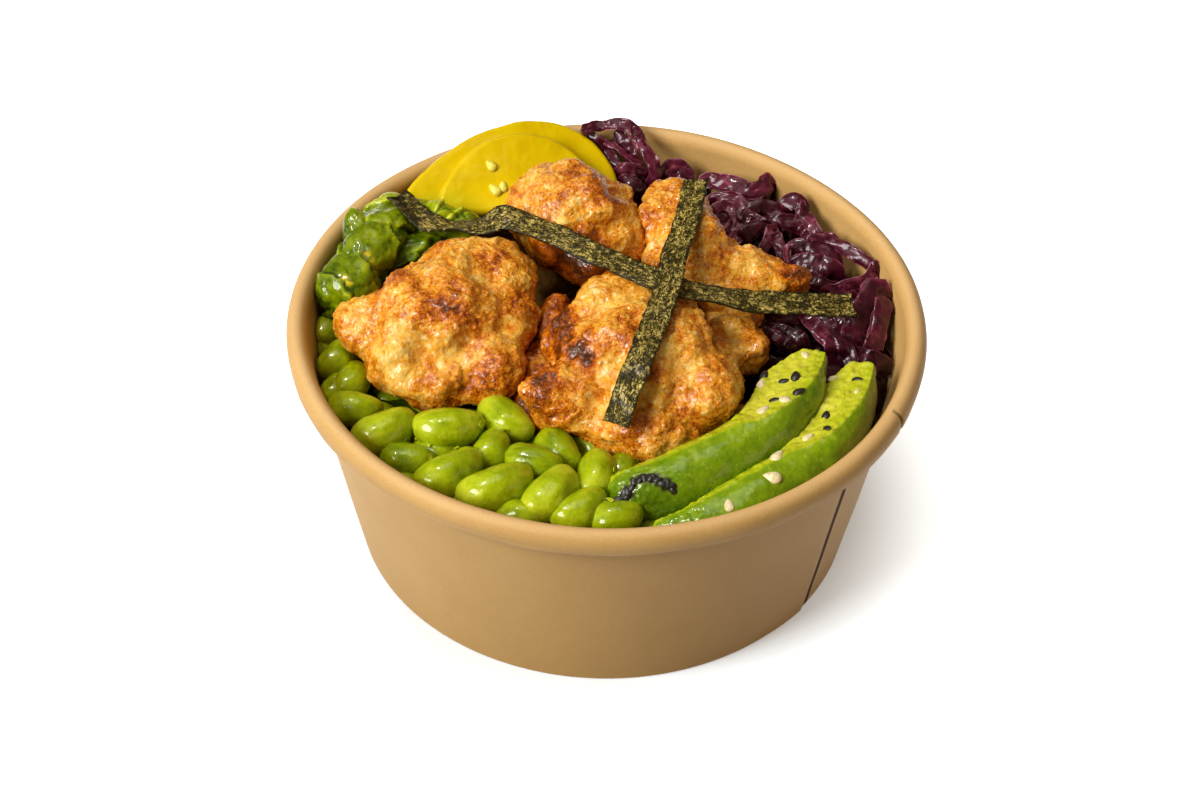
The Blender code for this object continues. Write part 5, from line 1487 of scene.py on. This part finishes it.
def pickle_sides(node):
    """The points of the slice's two faces, which meet at its rim and its cut edge."""
    outline = pickle_outline(node)
    hub = (outline[0] + outline[-1]) / 2
    cut = unit(outline[-1] - outline[0])
    shares = 1 - np.linspace(1, 0, PICKLE_RINGS)[:, None] ** 1.6
    flat = hub + (outline - hub) * shares[:, :, None]
    from_rim = (1 - shares) * np.linalg.norm(outline - hub, axis=1)
    from_cut = np.abs((flat - hub) @ np.array((-cut[1], cut[0])))
    inside = np.clip(np.minimum(from_rim, from_cut) / PICKLE_EDGE, 0, 1)
    half = PICKLE_THICKNESS / 2 * np.sqrt(1 - (1 - inside) ** 2)
    level = PICKLE[node][0] * (PICKLE_THICKNESS + CLEARANCE) + 0.7 * np.sin(0.13 * flat[:, :, 0] + 0.9)
    return np.concatenate([np.dstack([flat, level + side * half]).reshape(-1, 3) for side in (1, -1)])


def make_pickle(node):
    """A half-round slice of pickled radish, rounded at its rim and softly rippled."""
    points = pickle_sides(node) @ turn(PICKLE_YAW, PICKLE_SLOPE).T + np.array(PICKLE_MIDDLE)
    points += 0.16 * unit_noise(points, 6.0, 3) + 0.04 * unit_noise(points, 1.6, 4)
    count = PICKLE_RINGS * PICKLE_SPOKES
    faces = []
    for ring, spoke in product(range(PICKLE_RINGS - 1), range(PICKLE_SPOKES - 1)):
        corner = ring * PICKLE_SPOKES + spoke
        square = [corner, corner + PICKLE_SPOKES, corner + PICKLE_SPOKES + 1, corner + 1]
        faces += [square, [count + index for index in reversed(square)]]
    obj = new_object(node.replace("pickle", "radish"), pressed_in(points, 0.2), faces)
    weld(obj.data, 0.03, closing=True)
    points = places_of(obj)
    leafy = 0.55 * marks(tree_of(obj), points, (LEAFY_SPOT,), 2 / 9, (0.6, 1, 1))
    return painted(obj, leafy=leafy * (0.8 + 0.4 * noise(points, 2.5, 8)))


# ---------------------------------------------------------------- seaweed


STRIP_WIDTH = 6.2
STRIP_THICKNESS = 0.5
STRIP_LIFT = 0.75  # how far above the solids below a strip's underside lies
STRIP_STEP = 0.55  # the length between a strip's stations
STRIP_COLUMNS = 13
BRIDGING = 0.03  # how sharply a strip bends down beside a high point, for each millimetre
ABOVE_ALL = 150.0
# Each strip: its tilt at either end in degrees; the place, height and width of the fold at its back
# edge; how far its near end curls up, how far its tip darkens; and its line
STRIPS = {
    "nori_long": (
        (2, 22),
        (33, 3, 3.5),
        (1.5, 0.04),
        (
            (-51.9, 36.1, 62.5), (-44.2, 27.6, 62), (-31.7, 22.3, 67), (-23.5, 21.5, 70), (-11.5, 15.9, 70),
            (-1.9, 9.4, 69.5), (6.5, 3.4, 70), (14.5, -0.8, 69.5), (22, -2.2, 68), (36.5, 0.8, 64),
            (58, 4.2, 60.5),
        ),
    ),
    "nori_short": (
        (8, 8),
        (0, 0, 1),
        (0, 0),
        (
            (20.9, 35.5, 72.5), (18.5, 19.3, 73), (15.4, 6, 73), (13.8, -4.6, 72), (10.7, -16, 70),
            (7.6, -27.5, 67), (2.4, -40.2, 60.5),
        ),
    ),
}


def height_below(tree, x, y):
    """The height of what lies under this place, or None."""
    hit = tree.ray_cast(Vector((x, y, ABOVE_ALL)), Vector((0, 0, -1)))[0]
    return hit.z if hit else None


def strip_edges(node, places, ways, stops, tree):
    """Heights of the strip's two edges: it rests on high points and bridges the gaps."""
    tilts, (folded_at, fold_height, fold_width), _, _ = STRIPS[node]
    edges = []
    for side in (-0.5, 0.5):
        held = []
        for place, way in zip(places, ways):
            across = unit(np.cross(way, (0, 0, 1))) * side * STRIP_WIDTH
            spots = [place + across * share for share in (0.0, 0.4, 0.8, 1.15)]
            below = [height_below(tree, *spot[:2]) for spot in spots]
            held.append(max(0.0 if height is None else height + STRIP_LIFT for height in below))
        sag = np.tan(np.radians(np.interp(stops, (0, stops[-1]), tilts))) * side * STRIP_WIDTH
        bridged = (np.array(held) - BRIDGING * (stops[:, None] - stops) ** 2).max(axis=1)
        edges.append(np.maximum(bridged, places[:, 2] - sag))
    edges[0] = edges[0] + fold_height * ridge(stops - folded_at, fold_width)
    return edges


def softened(values, reach=4):
    """Values averaged over a few neighbours on either side."""
    kernel = np.hanning(2 * reach + 3)[1:-1]
    return np.convolve(np.pad(values, reach, mode="edge"), kernel / kernel.sum(), mode="valid")


def lay_strip(node, below):
    """Where a strip lies over the model's solids: its line, its directions and its edges' heights."""
    knots = STRIPS[node][-1]
    length = smooth_line(knots, 2)[1][-1]
    places, stops = smooth_line(knots, int(length / STRIP_STEP))
    ways = headings(places)
    left, right = strip_edges(node, places, ways, stops, tree_of(*[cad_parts[name] for name in below]))
    return places, ways, softened(left), softened(right), stops


def lowered(points, strips, gap, rise):
    """The places, lowered where they would come closer than the gap to a strip's underside.

    Beside the strip they may stand higher, by rise for each square millimetre."""
    points = points.copy()
    for places, ways, left, right, _ in strips:
        away = points[:, None, :2] - places[None, ::3, :2]
        nearest = (away**2).sum(axis=2).argmin(axis=1) * 3
        way = unit(ways[nearest] * (1, 1, 0))
        across = np.stack([way[:, 1], -way[:, 0]], axis=1)
        offset = points[:, :2] - places[nearest, :2]
        side = (offset * across).sum(axis=1)
        along = np.abs((offset * way[:, :2]).sum(axis=1))
        share = np.clip(side / STRIP_WIDTH, -0.6, 0.6) + 0.5
        under = left[nearest] * (1 - share) + right[nearest] * share
        free = np.maximum(0, np.abs(side) - STRIP_WIDTH / 2) ** 2 + np.maximum(0, along - 2) ** 2
        points[:, 2] = np.minimum(points[:, 2], under - gap + rise * free)
    return points


def strip_rings(laid, curl_height):
    """The strip's section at each of its stations, there and back over its width."""
    shares = np.linspace(-0.5, 0.5, STRIP_COLUMNS)[:, None]
    for place, way, low_left, low_right, stop in zip(*laid):
        across = unit(np.cross(way, (0, 0, 1)))
        slope = unit(across * STRIP_WIDTH + np.array((0, 0, low_right - low_left)))
        over = np.cross(slope, way)
        over = unit(over if over[2] > 0 else -over)
        middle = np.array((place[0], place[1], (low_left + low_right) / 2))
        curl = curl_height * max(0.0, 1 - stop / 14)
        row = middle + slope * shares * STRIP_WIDTH + over * curl * ((2 * shares) ** 2 - 0.2)
        yield np.concatenate([row, (row + over * STRIP_THICKNESS)[::-1]])


def make_strip(node, laid):
    """A strip of seaweed, crinkled and with rough cut edges."""
    _, ways, _, _, stops = laid
    curl_height, darkening = STRIPS[node][2]
    seed, length, section = len(STRIPS[node][-1]), stops[-1], 2 * STRIP_COLUMNS
    points = tube_points(list(strip_rings(laid, curl_height)))
    points += 0.13 * unit_noise(points, 1.1, seed) + 0.24 * unit_noise(points, 3.2, seed + 5) * (1, 1, 0.5)
    tip = darkening * smoothstep(points[:, 0], -42.0, -51.0)
    at_ends = tube_values(np.repeat((stops < 1) | (stops > length - 1), section), 1, 1)
    ragged = tube_points(np.repeat(ways[:, None, :], section, axis=1))
    points += ragged * (0.35 * noise(points, 0.9, seed + 9) * at_ends)[:, None]
    shares = np.linspace(-0.5, 0.5, STRIP_COLUMNS)
    across = STRIP_WIDTH * tube_values(np.tile(np.concatenate([shares, shares[::-1]]), len(stops)))
    return new_object(
        node.replace("nori", "seaweed"),
        points,
        tube_faces(len(stops), section),
        along=tube_values(np.repeat(stops, section), 0.0, length),
        across=across,
        fleck=0.7 * smoothstep(noise(points, 0.9, seed + 12), 0.62, 0.80),
        light=-0.07 * smoothstep(np.abs(across), 0.40 * STRIP_WIDTH, 0.5 * STRIP_WIDTH) - tip,
    )


# ---------------------------------------------------------------- what fills the bowl


FILLING_VOXEL = 1.35


def make_filling():
    obj = fine_copy("bed", "filling", FILLING_VOXEL, 1, 4)
    points = places_of(obj)
    height = 0.35 * noise(points, 4.0, 90) + 0.25 * noise(points, 1.8, 91) - 0.2
    move_vertices(obj, pressed_in(points + vertex_values(obj, "normal") * height[:, None], 0.3))
    return obj


# ---------------------------------------------------------------- stage and light


FLOOR_REACH = 1500.0
SHADE_MIDDLE = (-6.0, 4.0, 0.0)
SHADE_RADII = (58.0, 98.0)  # the floor's own glow grows between these distances from the middle of its painted shadow
SHADE_GLOW = (0.19, 0.97)
LIT_PLACE = (0.0, 0.0, 40.0)
# Each light: its place, its width, its power in watts and its colour
LIGHTS = {
    "key": ((-1230, -800, 1130), 900, 39.0, (0.98, 1.0, 0.985)),
    "top": ((-160, 420, 1700), 1100, 4.0, (1.0, 0.97, 0.90)),
    "glint": ((-560, 240, 1480), 150, 7.0, (1.0, 1.0, 0.97)),
    "side": ((1300, -700, 420), 900, 1.8, (1.0, 0.76, 0.42)),
}
SURROUND_COLOUR, SURROUND_STRENGTH = (1.0, 0.80, 0.44, 1.0), 0.165


def add_floor():
    """A white floor that glows by itself, least around the bowl's foot: a painted shadow."""
    corners = [(x * FLOOR_REACH, y * FLOOR_REACH, 0) for x, y in ((-1, -1), (1, -1), (1, 1), (-1, 1))]
    floor = new_object("floor", corners, [[0, 1, 2, 3]])
    stage = Surface("floor", 0.1, rough=0.9)
    middle = Vector(SHADE_MIDDLE) * MM
    away = stage.node("VectorMath", "Value", {0: stage.place, 1: middle}, operation="DISTANCE")
    # A painted shadow: the glow is weakest near the bowl's foot.
    glow = stage.spread(away, *(radius * MM for radius in SHADE_RADII), *SHADE_GLOW)
    stage.shader.inputs["Emission Color"].default_value = (1.0, 1.0, 1.0, 1.0)
    stage.link(glow, stage.shader.inputs["Emission Strength"])
    grain = stage.ramp(stage.noise(3.0), (0.4, 0.78, 0.82, 0.88), (0.6, 0.80, 0.84, 0.90))
    floor.data.materials.append(stage.finish(grain))
    floor.visible_diffuse = False  # the bowl's outside is lit by the lights alone, as in the photograph
    floor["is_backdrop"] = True


def add_lights():
    """A key light from the front left, a soft one above, a small one for glints, a weak warm one from
    the right, and a dim warm surround."""
    for name, (place, width, watts, colour) in LIGHTS.items():
        data = bpy.data.lights.new(name, "AREA")
        data.shape, data.size, data.energy, data.color = "DISK", width * MM, watts, colour
        light = linked(name, data)
        light.location = Vector(place) * MM
        light.rotation_euler = (Vector(place) - Vector(LIT_PLACE)).to_track_quat("Z", "Y").to_euler()
    world = bpy.data.worlds.new("surround")
    world.use_nodes = True
    background = world.node_tree.nodes["Background"]
    background.inputs["Color"].default_value = SURROUND_COLOUR
    background.inputs["Strength"].default_value = SURROUND_STRENGTH
    bpy.context.scene.world = world
    bpy.context.scene.view_settings.view_transform = "Standard"


# ---------------------------------------------------------------- assembly


def settle(obj, node, material):
    """Finishes a piece: its material, the body that it rides on, and what it stands for."""
    obj.data.materials.clear()
    obj.data.materials.append(material)
    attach(obj, BODY)
    if node:
        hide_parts(node)
    return obj


def add_seaweed():
    """Lays both strips over the model's solids, and gives back where they lie."""
    toppings = [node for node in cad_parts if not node.startswith(("bowl", "bed", "nori"))]
    strips = {"nori_long": lay_strip("nori_long", toppings)}
    strips["nori_short"] = lay_strip("nori_short", [*toppings, "nori_long"])
    weed = seaweed_material()
    for node, laid in strips.items():
        settle(make_strip(node, laid), node, weed)
    return list(strips.values())


def add_avocado():
    """The slices with their sesame seeds, and a search tree over the slices."""
    flesh = avocado_material()
    on_slices = tree_of(*[settle(make_slice(node), node, flesh) for node in AVOCADO])
    black = sesame_material("black_sesame", (0.006, 0.005, 0.004), (0.022, 0.018, 0.012))
    white = sesame_material("white_sesame", (0.62, 0.47, 0.22), (0.80, 0.68, 0.42))
    settle(lay_seeds("sesame_black", BLACK_SEEDS, on_slices, 31), None, black)
    settle(lay_seeds("sesame_white", WHITE_SEEDS, on_slices, 32), None, white)
    return on_slices


def add_radish():
    yellow = pickle_material()
    on_slices = tree_of(*[settle(make_pickle(node), node, yellow) for node in PICKLE])
    pale = sesame_material("radish_seed", (0.70, 0.60, 0.04), (0.82, 0.72, 0.14))
    settle(lay_seeds("radish_seeds", PICKLE_SEEDS, on_slices, 33), None, pale)


def main():
    add_camera()
    board = kraft_material()
    settle(make_wall(), "bowl_wall", board)
    settle(make_base(), "bowl_base", board)
    strips = add_seaweed()
    crust = crust_material()
    for number, node in enumerate(PATCHES, 1):
        settle(make_chicken(node, 1000 * number, strips), node, crust)
    on_slices = add_avocado()
    add_radish()
    leaf = leaf_material()
    settle(make_greens(strips), "greens", leaf)
    settle(make_scraps("leaf_scraps", LEAF_SCRAPS, on_slices), None, leaf)
    settle(make_cabbage(), "red_cabbage", cabbage_material())
    green = bean_material()
    beans = settle(make_beans(), "edamame", green)
    settle(make_scraps("skin_scraps", SKIN_SCRAPS, tree_of(beans)), None, green)
    settle(make_filling(), "bed", filling_material())
    add_floor()
    add_lights()


main()

boxes = [[list(corner) for corner in box] for box in (CAD_BOX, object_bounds())]
